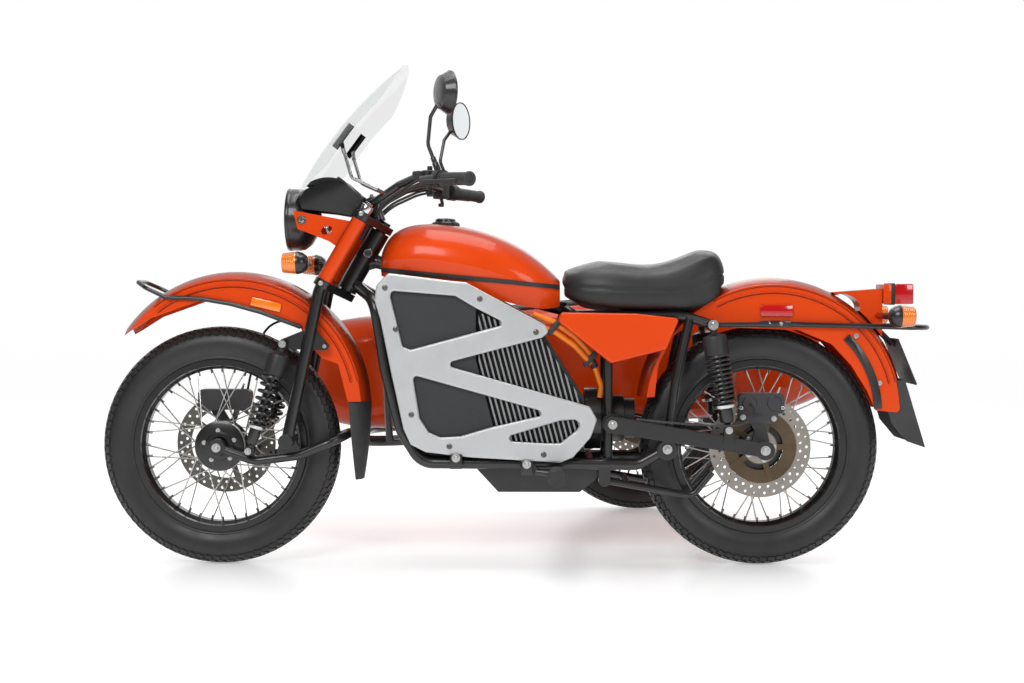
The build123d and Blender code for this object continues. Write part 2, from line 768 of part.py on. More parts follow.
def signal_body(face_x, y, z, rearward):
    """Add a lamp housing behind its lens, on each side. Rearward is -1 in front, 1 at the back."""
    for side in (-1, 1):
        with BuildSketch(cross_plane(face_x - rearward * signal_lens)) as ring:
            with Locations((side * y, z)):
                Circle(signal_radius)
        extrude(ring.sketch, amount=-rearward * signal_back, taper=22)


def signal_lenses(face_x, y, z, rearward):
    """Add the lens of a turn signal on each side."""
    for side in (-1, 1):
        with BuildSketch(cross_plane(face_x - rearward * (signal_lens - seat_gap))) as ring:
            with Locations((side * y, z)):
                Circle(signal_radius)
        extrude(ring.sketch, amount=rearward * (signal_lens - seat_gap), taper=6)


with BuildPart() as front_indicators:
    signal_body(*front_signal, -1)
    for side in (-1, 1):
        inner = on_fork(45, fork_offset, side * (fork_spread + shroud_radius + seat_gap))
        housing = at(front_signal[0] + signal_lens + 16, side * front_signal[1], front_signal[2])
        bar([housing, inner], signal_stem)
    add(fork_shrouds.part, mode=Mode.SUBTRACT)
    signal_lenses(*front_signal, -1)
front_indicators.part.label = "front_indicators"
export_step(front_indicators.part, "parts/front_indicators.step")

# ---------------------------------------------------------------- main frame
head_from = lower_yoke_from + yoke_thickness + 3
head_to = upper_yoke_from - 3
backbone_radius = 19.0
backbone_front = (432.0, 846.0)
backbone_rear = (962.0, 712.0)
seat_rail_y = 96.0
seat_rail_z = 696.0
peg_mount = (1237.0, 333.0)
lower_rail_z = 294.0
cross_tube = rail_tube - 2

with BuildPart() as main_frame:
    bar([on_fork(head_from), on_fork(head_to)], head_radius)
    backbone = [on_fork(60), at(backbone_front[0], 0, backbone_front[1])]
    backbone += [at(backbone_rear[0], 0, backbone_rear[1])]
    bar(backbone, backbone_radius, 20)
    for side in (-1, 1):
        y = side * frame_half_width
        cradle = [on_fork(6, -16, side * 8), at(438, y, 738), at(469, y, 548), at(510, y, 385)]
        cradle += [at(566, y, lower_rail_z), at(1160, y, lower_rail_z - 4), at(peg_mount[0], y, peg_mount[1])]
        bar(cradle, frame_tube, [60, 200, 120, 60, 60])
        pin(*peg_mount, side * (frame_half_width - 16), side * (frame_half_width + 18), 27)
        rail = side * seat_rail_y
        seat_rail = [at(backbone_rear[0], 0, backbone_rear[1]), at(988, rail, seat_rail_z)]
        seat_rail += [at(1286, rail, seat_rail_z), at(rear_shock_top[0], side * 112, rear_shock_top[1])]
        bar(seat_rail, rail_tube, [24, 120])
        bar([at(1077, rail, seat_rail_z), at(1077, rail, lower_rail_z)], rail_tube)
        upright = [at(peg_mount[0], side * 112, peg_mount[1]), at(1262, side * 112, 520)]
        upright += [at(1300, side * 104, seat_rail_z - 8)]
        bar(upright, rail_tube, 100)
        pin(*swingarm_pivot, side * (seat_rail_y - 12), side * (swingarm_spread - 16), 26)
        pivot_span = (side * (seat_rail_y - 20), side * swingarm_spread)
        pin(*swingarm_pivot, *pivot_span, 12 + pin_clearance, Mode.SUBTRACT)
        pin(*rear_shock_top, side * 100, side * (swingarm_spread + 18), shock_pin)
        pin(*rear_shock_top, side * 100, side * (swingarm_spread - 14), 15)
        bracket = side * (stand_spread + stand_boss_half + 1)
        lug(
            (stand_pivot, (stand_pivot[0], lower_rail_z - 4)),
            (16, 16), bracket, bracket + side * stand_bracket
        )
        pin(*stand_pivot, side * (stand_spread - stand_boss_half), bracket, stand_pin)
    cross_tubes = (
        (600, lower_rail_z, frame_half_width),
        (1030, lower_rail_z, frame_half_width),
        (1190, seat_rail_z, seat_rail_y),
    )
    for x, z, reach in cross_tubes:
        bar([at(x, -reach + 6, z), at(x, reach - 6, z)], cross_tube)
    bar([on_fork(head_from - 5), on_fork(head_to + 5)], stem_radius + pin_clearance, mode=Mode.SUBTRACT)
main_frame.part.label = "main_frame"
export_step(main_frame.part, "parts/main_frame.step")

# ---------------------------------------------------------------- battery, heat sink, covers
battery_floor = lower_rail_z + cross_tube + seat_gap
battery_rear = 1014.0
battery_outline = (
    (468, 776), (652, 757), (742, 712), (905, 640), (battery_rear - 2, 468), (battery_rear, 372),
    (960, battery_floor), (560, battery_floor), (536, 398), (494, 556),
)
panel_outline = (
    (478, 772), (655, 753), (716, 722), (716, 577), (764, 393), (790, 330), (572, 330), (540, 400), (499, 556)
)
with BuildPart() as battery_pack:
    plate(battery_outline, battery_half_width, -battery_half_width)
    plate(panel_outline, panel_half_width, -panel_half_width)
battery_pack.part.label = "battery_pack"
export_step(battery_pack.part, "parts/battery_pack.step")

fin_pitch = 13.5
fin_thickness = 5.0
fin_lean = 15.0
fin_count = 24
fin_depth = 32.0
sink_base = 8.0
sink_outline = (
    (724, 706), (742, 698), (900, 630), (1004, 468), (1004, 384), (944, 346), (806, 346),
    (770, 393), (724, 572),
)
with BuildPart() as heat_sink:
    base_y = battery_half_width + seat_gap
    plate(sink_outline, -base_y, -base_y - sink_base)
    with BuildSketch(side_plane(-base_y - sink_base)) as fins:
        with Locations(Location((860, 520, 0), (0, 0, fin_lean))):
            with GridLocations(fin_pitch, 1, fin_count, 1):
                Rectangle(fin_thickness, 600)
        Polygon(*sink_outline, align=None, mode=Mode.INTERSECT)
    extrude(fins.sketch, amount=fin_depth)
    mirror(about=bike_plane)
heat_sink.part.label = "heat_sink"
export_step(heat_sink.part, "parts/heat_sink.step")

# the lattice cover: corner points of the outline and of its three windows
cover_outline = (
    (442, 739), (447, 778), (479, 812), (647, 791), (690, 787), (904, 672), (914, 652), (896, 637),
    (623, 565), (1026, 450), (1046, 415), (1028, 366), (980, 312), (945, 298), (701, 312), (580, 326),
    (539, 347), (520, 388), (485, 550), (458, 685),
)
cover_windows = (
    ((488, 764), (661, 750), (715, 718), (801, 674), (736, 657), (539, 604), (518, 612), (485, 747)),
    ((545, 536), (728, 485), (920, 431), (755, 393), (674, 369), (620, 366), (588, 380), (564, 418)),
    ((766, 358), (945, 412), (985, 415), (1001, 404), (990, 386), (945, 350), (904, 350)),
)
cover_corner = 9.0
with BuildPart() as alloy_covers:
    with BuildSketch(side_plane(-cover_face_y + cover_thickness)) as face:
        Polygon(*cover_outline, align=None)
        fillet(face.vertices(), cover_corner)
        for window in cover_windows:
            with BuildSketch(face.workplanes[0], mode=Mode.PRIVATE) as hole:
                Polygon(*window, align=None)
                fillet(hole.vertices(), cover_corner)
            add(hole.sketch_local, mode=Mode.SUBTRACT)
    extrude(face.sketch, amount=cover_thickness)
    chamfer(alloy_covers.faces().sort_by(Axis.Y)[0].edges(), cover_rounding)
    for x, z in ((494, 690), (600, 585), (600, 346), (690, 344)):
        pin(x, z, -cover_face_y + cover_thickness, -panel_half_width - seat_gap, 5)
    mirror(about=bike_plane)
alloy_covers.part.label = "alloy_covers"
export_step(alloy_covers.part, "parts/alloy_covers.step")

# ---------------------------------------------------------------- tank and seat
# stations down the tank: x, bottom z, top z, half width
tank_sections = (
    (452, 806, 868, 62),
    (505, 792, 930, 112),
    (620, 776, 943, 134),
    (770, 742, 911, 130),
    (880, 716, 850, 104),
    (946, 722, 788, 66),
)
tank_seam_front = (449.0, 828.0)
tank_seam_rear = (947.0, 780.0)
tank_band = 12.0
tunnel_half = backbone_radius + seat_gap


def tank_form(grow):
    """Add the tank's body through rounded stations, grown outward by a distance."""
    faces = []
    for x, bottom, top, half_width in tank_sections:
        half = half_width + grow
        waist = bottom + (top - bottom) * 0.42
        with BuildSketch(cross_plane(x)) as station:
            with BuildLine():
                Line((-half * 0.86, bottom - grow), (half * 0.86, bottom - grow))
                Line((half * 0.86, bottom - grow), (half, waist))
                ThreePointArc((half, waist), (half * 0.78, top - (top - waist) * 0.26), (0, top + grow))
                ThreePointArc((0, top + grow), (-half * 0.78, top - (top - waist) * 0.26), (-half, waist))
                Line((-half, waist), (-half * 0.86, bottom - grow))
            make_face()
        faces.append(station.sketch.face())
    loft(sections=faces)


with BuildPart() as tank:
    tank_form(0)
    tunnel_roof = backbone_radius + 8
    plate(
        (
            (400, 700), (1000, 700), (1000, backbone_rear[1] + tunnel_roof - 6),
            (backbone_front[0] - 30, backbone_front[1] + tunnel_roof),
        ),
        tunnel_half,
        -tunnel_half,
        Mode.SUBTRACT,
    )
tank.part.label = "tank"
export_step(tank.part, "parts/tank.step")

cap_place = (627.0, 940.0)
cap_radius = 37.0
with BuildPart() as tank_trim:
    tank_form(4)
    with BuildSketch(side_plane(0)) as strip:
        Polygon(
            (tank_seam_front[0] - 20, tank_seam_front[1] + 2),
            (tank_seam_rear[0] + 20, tank_seam_rear[1] - 2),
            (tank_seam_rear[0] + 20, tank_seam_rear[1] - 2 - tank_band),
            (tank_seam_front[0] - 20, tank_seam_front[1] + 2 - tank_band),
            align=None,
        )
    extrude(strip.sketch, amount=300, both=True, mode=Mode.INTERSECT)
    with BuildSketch(Plane(origin=at(cap_place[0], 0, cap_place[1]))) as base:
        Circle(cap_radius)
    extrude(base.sketch, amount=14)
    with BuildSketch(Plane(origin=at(cap_place[0], 0, cap_place[1] + 14))) as knob:
        Circle(cap_radius - 8)
    extrude(knob.sketch, amount=10, taper=20)
    add(tank.part, mode=Mode.SUBTRACT)
    plate(((400, 600), (1100, 600), (1100, 900), (400, 900)), tunnel_half, -tunnel_half, Mode.SUBTRACT)
tank_trim.part.label = "tank_trim"
export_step(tank_trim.part, "parts/tank_trim.step")

rear_guard_centre = (1530.0, 430.0)
rear_guard_radius = 370.0
# stations down the saddle: x, bottom z, top z, half width
seat_sections = (
    (953, 748, 826, 80),
    (1010, 724, 838, 122),
    (1150, 710, 832, 138),
    (1270, 710, 848, 132),
    (1350, 722, 879, 118),
    (1404, 772, 840, 84),
)
with BuildPart() as seat:
    faces = []
    for x, bottom, top, half in seat_sections:
        with BuildSketch(cross_plane(x)) as station:
            with BuildLine():
                Line((-half * 0.9, bottom), (half * 0.9, bottom))
                ThreePointArc(
                    (half * 0.9, bottom), (half, bottom + (top - bottom) * 0.45), (half * 0.82, top - 16)
                )
                ThreePointArc((half * 0.82, top - 16), (0, top), (-half * 0.82, top - 16))
                ThreePointArc(
                    (-half * 0.82, top - 16), (-half, bottom + (top - bottom) * 0.45), (-half * 0.9, bottom)
                )
            make_face()
        faces.append(station.sketch.face())
    loft(sections=faces)
    guard_clear = rear_mudguard_half_width + 2
    pin(*rear_guard_centre, guard_clear, -guard_clear, rear_guard_radius + 2, Mode.SUBTRACT)
seat.part.label = "seat"
export_step(seat.part, "parts/seat.step")

side_cover_outline = ((939, 680), (947, 706), (1150, 703), (1270, 690), (1234, 604), (1083, 566))
side_cover_face = 150.0
side_cover_depth = 34.0
with BuildPart() as side_covers:
    with BuildSketch(side_plane(-side_cover_face + side_cover_depth)) as panel:
        Polygon(*side_cover_outline, align=None)
        fillet(panel.vertices(), 10)
    extrude(panel.sketch, amount=side_cover_depth)
    fillet(side_covers.faces().sort_by(Axis.Y)[0].edges(), 8)
    mirror(about=bike_plane)
side_covers.part.label = "side_covers"
export_step(side_covers.part, "parts/side_covers.step")

# ---------------------------------------------------------------- motor and drive
motor_radius = 86.0
motor_end_x = 1124.0
with BuildPart() as motor:
    with BuildSketch(cross_plane(battery_rear + seat_gap)) as drum:
        with Locations((0, 408)):
            Circle(motor_radius)
    extrude(drum.sketch, amount=46)
    with BuildSketch(cross_plane(1060)) as nose:
        with Locations((0, 408)):
            Circle(motor_radius - 20)
    extrude(nose.sketch, amount=motor_end_x - 1060)
motor.part.label = "motor"
export_step(motor.part, "parts/motor.step")

drive_y = 78.0
shaft_radius = 16.0
with BuildPart() as final_drive:
    pin(wheelbase, tyre_radius, hub_half_width + 10, swingarm_spread - 16, 82)
    bar([at(wheelbase - 60, drive_y, tyre_radius + 10), at(1150, drive_y, 396)], shaft_radius)
    with BuildSketch(cross_plane(motor_end_x + seat_gap)) as gearcase:
        with Locations((0, 408)):
            Circle(56)
        with Locations((drive_y - 8, 400)):
            Circle(shaft_radius + 8)
        make_hull()
    extrude(gearcase.sketch, amount=30)
    pin(wheelbase, tyre_radius, hub_half_width, swingarm_spread, axle_radius + pin_clearance, Mode.SUBTRACT)
final_drive.part.label = "final_drive"
export_step(final_drive.part, "parts/final_drive.step")

with BuildPart() as belly_pan:
    pan_top = lower_rail_z - cross_tube - seat_gap
    plate(((709, pan_top), (1075, pan_top), (1040, 240), (1000, 210), (776, 210)), 88, -88)
belly_pan.part.label = "belly_pan"
export_step(belly_pan.part, "parts/belly_pan.step")

cable_radius = 8.0
with BuildPart() as power_cables:
    for drop in (0, 26):
        route = [at(872, -110, 700 - drop), at(930, -106, 678 - drop), at(985, -98, 640 - drop)]
        route += [at(1030, -70, 590 - drop)]
        bar(route, cable_radius, 30)
    bar([at(1040, -62, 560), at(1060, -74, 500), at(1056, -74, 470)], cable_radius, 20)
power_cables.part.label = "power_cables"
export_step(power_cables.part, "parts/power_cables.step")

# ---------------------------------------------------------------- swingarm and rear shocks
arm_slope = (swingarm_pivot[1] - tyre_radius) / (wheelbase - swingarm_pivot[0])
shock_line_z = tyre_radius + (wheelbase - rear_shock_foot_x) * arm_slope
rear_shock_foot = (rear_shock_foot_x, shock_line_z + 38)
with BuildPart() as swingarm:
    inner = swingarm_spread - swingarm_thickness / 2
    outer = swingarm_spread + swingarm_thickness / 2
    for side in (-1, 1):
        lug((swingarm_pivot, (wheelbase, tyre_radius)), (22, 19), side * inner, side * outer)
        pin(wheelbase, tyre_radius, side * inner, side * outer, 26)
        pin(*swingarm_pivot, side * (seat_rail_y - 10), side * outer, 12)
        for gap_side in (-1, 1):
            eye_face = side * swingarm_spread + gap_side * (shock_eye_width / 2 + 0.5)
            lug(
                (rear_shock_foot, (rear_shock_foot_x, shock_line_z)),
                (13, 15),
                eye_face,
                eye_face + gap_side * 5,
            )
        pin(*rear_shock_foot, side * (inner - 3), side * (outer + 3), shock_pin)
        spacer_from = side * (hub_half_width + 12)
        if side < 0:
            pin(wheelbase, tyre_radius, spacer_from, side * inner, axle_radius + 6)
    pin(wheelbase, tyre_radius, -outer, outer, axle_radius)
swingarm.part.label = "swingarm"
export_step(swingarm.part, "parts/swingarm.step")

with BuildPart() as rear_shocks:
    shock(rear_shock_foot, rear_shock_top, -swingarm_spread, spring_radius, 0.28)
    mirror(about=bike_plane)
rear_shocks.part.label = "rear_shocks"
export_step(rear_shocks.part, "parts/rear_shocks.step")

rear_caliper_y = -hub_half_width - disc_thickness / 2
with BuildPart() as rear_caliper:
    with BuildSketch(side_plane(rear_caliper_y + 18)) as body:
        with Locations((1502, tyre_radius + 122)):
            RectangleRounded(124, 56, 12)
    extrude(body.sketch, amount=44)
    pad_slot = ((1420, 380), (1600, 380), (1600, 476), (1420, 476))
    plate(pad_slot, rear_caliper_y - pad_half_gap, rear_caliper_y + pad_half_gap, Mode.SUBTRACT)
    lug(((1470, 436), (1500, 380)), (18, 16), rear_caliper_y - 14, rear_caliper_y - 24)
    lug(((1500, 380), (wheelbase, tyre_radius)), (16, 26), rear_caliper_y - 14, rear_caliper_y - 24)
    pin(wheelbase, tyre_radius, 0, -swingarm_spread, axle_radius + 6 + seat_gap, Mode.SUBTRACT)
rear_caliper.part.label = "rear_caliper"
export_step(rear_caliper.part, "parts/rear_caliper.step")

# ---------------------------------------------------------------- rear mudguard and tail
rear_guard_skirt = (
    (1140, 470), (1206, 472), (1216, 560), (1256, 640), (1300, 668), (1600, 656), (1690, 618),
    (1744, 560), (1788, 490), (1812, 436), (1870, 430), (1960, 520), (1960, 900), (1140, 900),
)
with BuildPart() as rear_mudguard:
    mudguard(
        at(rear_guard_centre[0], 0, rear_guard_centre[1]),
        rear_guard_radius,
        rear_mudguard_half_width,
        150,
        rear_guard_skirt,
    )
    for side in (-1, 1):
        pin(1316, 686, side * (rear_mudguard_half_width - 2), side * (seat_rail_y + 2), 7)
    add(main_frame.part, mode=Mode.SUBTRACT)
rear_mudguard.part.label = "rear_mudguard"
export_step(rear_mudguard.part, "parts/rear_mudguard.step")

with BuildPart() as rear_flap:
    with BuildSketch(side_plane(-rear_mudguard_half_width + 4)) as side_form:
        Polygon((1824, 512), (1893, 520), (1950, 333), (1900, 350), (1858, 400), align=None)
    extrude(side_form.sketch, amount=-2 * (rear_mudguard_half_width - 4))
    plate(((1800, 530), (1884, 524), (1940, 330), (1800, 330)), rear_mudguard_half_width - 10,
          -rear_mudguard_half_width + 10, Mode.SUBTRACT)
    add(rear_mudguard.part, mode=Mode.SUBTRACT)
rear_flap.part.label = "rear_flap"
export_step(rear_flap.part, "parts/rear_flap.step")

rear_rail_y = rear_mudguard_half_width + rear_rail_tube + 6
with BuildPart() as rear_rail:
    half_rail = ((rear_shock_top[0] + 15, 126, 672), (1600, rear_rail_y, 672), (1900, rear_rail_y, 664))
    route = [at(x, -y, z) for x, y, z in half_rail]
    loop_x = rear_rail_end - rear_rail_tube
    route += [at(loop_x, -rear_rail_y, 663), at(loop_x, rear_rail_y, 663)]
    route += [at(x, y, z) for x, y, z in reversed(half_rail)]
    bar(route, rear_rail_tube, [200, 300, 60, 60, 300, 200])
    add(main_frame.part, mode=Mode.SUBTRACT)
rear_rail.part.label = "rear_rail"
export_step(rear_rail.part, "parts/rear_rail.step")

tail_half_width = 42.0
with BuildPart() as tail_bracket:
    with BuildSketch(side_plane(-tail_half_width)) as arch:
        Polygon((1692, 740), (1700, 760), (1838, 770), (1838, 640), (1790, 640), align=None)
        with Locations((1741, 728)):
            Ellipse(38, 24, rotation=-28, mode=Mode.SUBTRACT)
        with Locations(rear_guard_centre):
            Circle(rear_guard_radius + seat_gap, mode=Mode.SUBTRACT)
    extrude(arch.sketch, amount=-2 * tail_half_width)
    for side in (-1, 1):
        stem_z = rear_signal[2]
        stem_foot = at(1826, side * (tail_half_width - 6), stem_z)
        bar([stem_foot, at(1840, side * (rear_signal[1] - 20), stem_z)], signal_stem)
tail_bracket.part.label = "tail_bracket"
export_step(tail_bracket.part, "parts/tail_bracket.step")

lamp_half_width = 52.0
with BuildPart() as tail_lamp:
    with BuildSketch(cross_plane(1838 + seat_gap)) as housing:
        with Locations((0, 755)):
            RectangleRounded(2 * lamp_half_width, 56, 10)
    extrude(housing.sketch, amount=42)
    with BuildSketch(cross_plane(1880 + 2 * seat_gap)) as lens:
        with Locations((0, 753)):
            RectangleRounded(2 * lamp_half_width - 2, 52, 9)
    extrude(lens.sketch, amount=42, taper=3)
tail_lamp.part.label = "tail_lamp"
export_step(tail_lamp.part, "parts/tail_lamp.step")

with BuildPart() as rear_indicators:
    signal_body(*rear_signal, 1)
    add(tail_bracket.part, mode=Mode.SUBTRACT)
    signal_lenses(*rear_signal, 1)
rear_indicators.part.label = "rear_indicators"
export_step(rear_indicators.part, "parts/rear_indicators.step")

plate_half_width = 92.0
with BuildPart() as number_plate:
    plate(((1868, 632), (1872, 633), (1924, 508), (1920, 506)), plate_half_width, -plate_half_width)
    bar([at(1840, -24, 650), at(1878, -24, 612)], 5)
    bar([at(1840, 24, 650), at(1878, 24, 612)], 5)
    add(tail_bracket.part, mode=Mode.SUBTRACT)
number_plate.part.label = "number_plate"
export_step(number_plate.part, "parts/number_plate.step")

# ---------------------------------------------------------------- stand and foot controls
with BuildPart() as centre_stand:
    leg = [(stand_pivot[0], stand_pivot[1]), (1308, 203), (1362, 268)]
    for side in (-1, 1):
        bar([at(x, side * stand_spread, z) for x, z in leg], stand_tube, 30)
        boss = (side * (stand_spread - stand_boss_half), side * (stand_spread + stand_boss_half))
        pin(*stand_pivot, *boss, 16)
        pin(*stand_pivot, *boss, stand_pin + pin_clearance, Mode.SUBTRACT)
    bar([at(1130, -stand_spread, 233), at(1130, stand_spread, 233)], stand_tube)
centre_stand.part.label = "centre_stand"
export_step(centre_stand.part, "parts/centre_stand.step")

peg_centre = (935.0, 266.0)
peg_radius = 22.0
peg_from = 150.0
peg_shoulder = 165.0
peg_to = 255.0
peg_neck_radius = 15.0
peg_arm = (880.0, 272.0)
peg_lug = 8.0
with BuildPart() as foot_controls:
    # each rubber peg stands on a neck, which an arm ties to a lug on the lower rail
    for side in (-1, 1):
        pin(*peg_centre, side * peg_from, side * peg_shoulder, peg_neck_radius)
        pin(*peg_centre, side * peg_shoulder, side * peg_to, peg_radius)
        rail_face = side * (frame_half_width + frame_tube + seat_gap)
        arm_foot = at(peg_arm[0], rail_face + side * 5, peg_arm[1])
        bar([at(peg_centre[0], side * (peg_from + 4), peg_centre[1]), arm_foot], 9)
        lug((peg_arm, (860, lower_rail_z)), (9, 8), rail_face, rail_face + side * peg_lug)
foot_controls.part.label = "foot_controls"
export_step(foot_controls.part, "parts/foot_controls.step")

# ---------------------------------------------------------------- sidecar
# stations down the tub: x, half width, bottom z, top z, corner radius
tub_sections = (
    (150, 165, 440, 600, 60),
    (215, 240, 372, 655, 90),
    (400, 285, 340, 684, 90),
    (900, 292, 350, 712, 70),
    (1300, 292, 370, 738, 70),
    (1620, 276, 395, 712, 80),
    (1748, 232, 430, 660, 80),
)


def tub_form(inset, mode=Mode.ADD):
    """Add or cut the tub's body through rounded stations, drawn in by a distance."""
    faces = []
    for index, (x, half_width, bottom, top, corner) in enumerate(tub_sections):
        end_shift = inset if index == 0 else -inset if index == len(tub_sections) - 1 else 0
        with BuildSketch(cross_plane(x + end_shift, tub_middle)) as station:
            with Locations((0, (bottom + top) / 2)):
                RectangleRounded(2 * (half_width - inset), top - bottom - 2 * inset, corner - inset)
        faces.append(station.sketch.face())
    loft(sections=faces, mode=mode)


cockpit = (640.0, 1160.0, 218.0, 60.0)
trunk_mouth = (1262.0, 1600.0, 200.0, 40.0)
bulkhead_x = 1206.0


def deck_hole(mouth, margin, mode):
    """Cut or keep what lies over an opening in the deck: front x, rear x, half width, corner."""
    front, rear, half_width, corner = mouth
    with BuildSketch(Plane(origin=at((front + rear) / 2, tub_middle, 560))) as mouth_sketch:
        RectangleRounded(rear - front - 2 * margin, 2 * (half_width - margin), corner - margin)
    extrude(mouth_sketch.sketch, amount=400, mode=mode)


with BuildPart() as tub_skin:
    tub_form(0)

# the space inside, parted by a bulkhead behind the passenger
with BuildPart() as tub_cavity:
    tub_form(tub_wall)
    with BuildSketch(cross_plane(bulkhead_x)) as slab:
        Rectangle(4000, 4000)
    extrude(slab.sketch, amount=tub_wall, mode=Mode.SUBTRACT)

with BuildPart() as tub_shell:
    add(tub_skin.part)
    add(tub_cavity.part, mode=Mode.SUBTRACT)

lid_hinge = (trunk_mouth[0] + 12.0, 757.0)
lid_hinge_radius = 7.0
lid_hinge_pin = 3.0
lid_hinge_spreads = (-120.0, 120.0)
knuckle_half = 14.0
ear_from = knuckle_half + 1.5
ear_to = ear_from + 6
with BuildPart() as sidecar_tub:
    add(tub_shell.part)
    deck_hole(cockpit, 0, Mode.SUBTRACT)
    deck_hole(trunk_mouth, 0, Mode.SUBTRACT)
    for spread in lid_hinge_spreads:
        hinge_y = tub_middle + spread
        pin(*lid_hinge, hinge_y - ear_to, hinge_y + ear_to, lid_hinge_pin)
        for side in (-1, 1):
            ear_ends = (lid_hinge, (lid_hinge[0] - 27, lid_hinge[1] - 20))
            lug(ear_ends, (5, 5), hinge_y + side * ear_from, hinge_y + side * ear_to)
sidecar_tub.part.label = "sidecar_tub"
export_step(sidecar_tub.part, "parts/sidecar_tub.step")

with BuildPart() as trunk_lid:
    add(tub_shell.part)
    deck_hole(trunk_mouth, lid_gap, Mode.INTERSECT)
    for spread in lid_hinge_spreads:
        knuckle = (tub_middle + spread - knuckle_half, tub_middle + spread + knuckle_half)
        lug((lid_hinge, (lid_hinge[0] + 30, lid_hinge[1] - 18)), (lid_hinge_radius, 4), *knuckle)
        pin(*lid_hinge, *knuckle, lid_hinge_pin + pin_clearance, Mode.SUBTRACT)
trunk_lid.part.label = "trunk_lid"
export_step(trunk_lid.part, "parts/trunk_lid.step")

seat_outline = (
    (700, 340), (760, 500), (1080, 470), (1150, 690), (1186, 700), (1194, 690), (1194, 340),
)
with BuildPart() as sidecar_seat:
    tub_form(tub_wall + 1)
    with BuildSketch(side_plane(tub_middle)) as form:
        Polygon(*seat_outline, align=None)
        fillet(form.vertices().group_by(Axis.Z)[-2:][0], 6)
    extrude(form.sketch, amount=cockpit[2] + 20, both=True, mode=Mode.INTERSECT)
sidecar_seat.part.label = "sidecar_seat"
export_step(sidecar_seat.part, "parts/sidecar_seat.step")

rail_front_z = 306.0
rail_rear_z = 362.0
sidecar_tube = 16.0
rail_start_x = 330.0
rail_end_x = 1660.0


def rail_z(x):
    """The height of the sidecar's sloping rails at a station."""
    return rail_front_z + (rail_rear_z - rail_front_z) * (x - rail_start_x) / (rail_end_x - rail_start_x)


arm_pivot = (990.0, rail_z(990.0))
sidecar_shock_y = 1000.0
sidecar_shock_foot = (1180.0, 380.0)
sidecar_shock_top = (1164.0, 612.0)
cross_members = (500.0, 990.0, 1237.0, 1640.0)
with BuildPart() as tub_mounts:
    for x in cross_members:
        for spread in (-170, 170):
            with BuildSketch(Plane(origin=at(x, tub_middle + spread, rail_z(x)))) as mount:
                Circle(16)
            extrude(mount.sketch, amount=60)
    tub_form(-seat_gap, Mode.SUBTRACT)

with BuildPart() as sidecar_frame:
    corners = [(rail_end_x, sidecar_rail_y), (rail_start_x, sidecar_rail_y)]
    corners += [(rail_start_x, sidecar_outer_rail_y), (rail_end_x, sidecar_outer_rail_y)]
    bar([at(x, y, rail_z(x)) for x, y in corners], sidecar_tube, 120)
    for x in cross_members:
        bar([at(x, sidecar_rail_y, rail_z(x)), at(x, sidecar_outer_rail_y, rail_z(x))], sidecar_tube - 2)
    pin(*arm_pivot, sidecar_outer_rail_y, sidecar_arm_y - 14, 18)
    pin(*arm_pivot, sidecar_arm_y - 20, sidecar_arm_y + 14, 10)
    shock_post = [at(1237, sidecar_outer_rail_y, rail_z(1237)), at(1237, 966, rail_z(1237) + 4)]
    bar(shock_post + [at(1186, 966, 612)], 13, 24)
    pin(*sidecar_shock_top, 966, sidecar_shock_y + 16, shock_pin)
    pin(sidecar_shock_top[0] + 5, sidecar_shock_top[1], 962, sidecar_shock_y - 12, 14)
    for x, y, z in ((500, sidecar_rail_y, rail_z(500)), (1237, sidecar_rail_y, rail_z(1237))):
        bar([at(x, y, z), at(x, y - 34, z)], 12)
    add([mount for mount in tub_mounts.solids() if mount.center().Z < 400])
sidecar_frame.part.label = "sidecar_frame"
export_step(sidecar_frame.part, "parts/sidecar_frame.step")

with BuildPart() as sidecar_arm:
    axle_place = (sidecar_axle_x, tyre_radius)
    lug((arm_pivot, axle_place), (22, 19), sidecar_arm_y - 12, sidecar_arm_y + 12)
    pin(*arm_pivot, sidecar_arm_y - 20, sidecar_arm_y + 20, 10 + pin_clearance, Mode.SUBTRACT)
    pin(*axle_place, sidecar_arm_y - 12, track + hub_half_width + 12, axle_radius)
    pin(*axle_place, sidecar_arm_y, track - hub_half_width - 12, axle_radius + 6)
    pin(*axle_place, track + hub_half_width + 6, track + hub_half_width + 18, 17)
    lug((sidecar_shock_foot, (1180, 332)), (14, 14), sidecar_arm_y - 12, sidecar_arm_y - 6)
    pin(*sidecar_shock_foot, sidecar_arm_y - 8, sidecar_shock_y - 14, shock_pin)
sidecar_arm.part.label = "sidecar_arm"
export_step(sidecar_arm.part, "parts/sidecar_arm.step")

with BuildPart() as sidecar_shock:
    shock(sidecar_shock_foot, sidecar_shock_top, sidecar_shock_y, front_spring_radius, 0.3)
sidecar_shock.part.label = "sidecar_shock"
export_step(sidecar_shock.part, "parts/sidecar_shock.step")

# struts from the bike's frame to the sidecar's inner rail: bike end, sidecar end
lug_y = sidecar_rail_y - 34
strut_table = (
    ((520, frame_half_width + frame_tube, 342), (500, lug_y, rail_z(500))),
    ((1237, frame_half_width + 22, 333), (1237, lug_y, rail_z(1237))),
    ((436, frame_half_width + frame_tube - 4, 712), (440, sidecar_rail_y - 18, rail_z(440) + 4)),
    ((1306, frame_half_width + 8, 662), (1330, sidecar_rail_y - 18, rail_z(1330) + 4)),
)
with BuildPart() as sidecar_struts:
    for bike_end, sidecar_end in strut_table:
        bar([at(*bike_end), at(*sidecar_end)], 11)
    add(main_frame.part, mode=Mode.SUBTRACT)
    add(sidecar_frame.part, mode=Mode.SUBTRACT)
sidecar_struts.part.label = "sidecar_struts"
export_step(sidecar_struts.part, "parts/sidecar_struts.step")

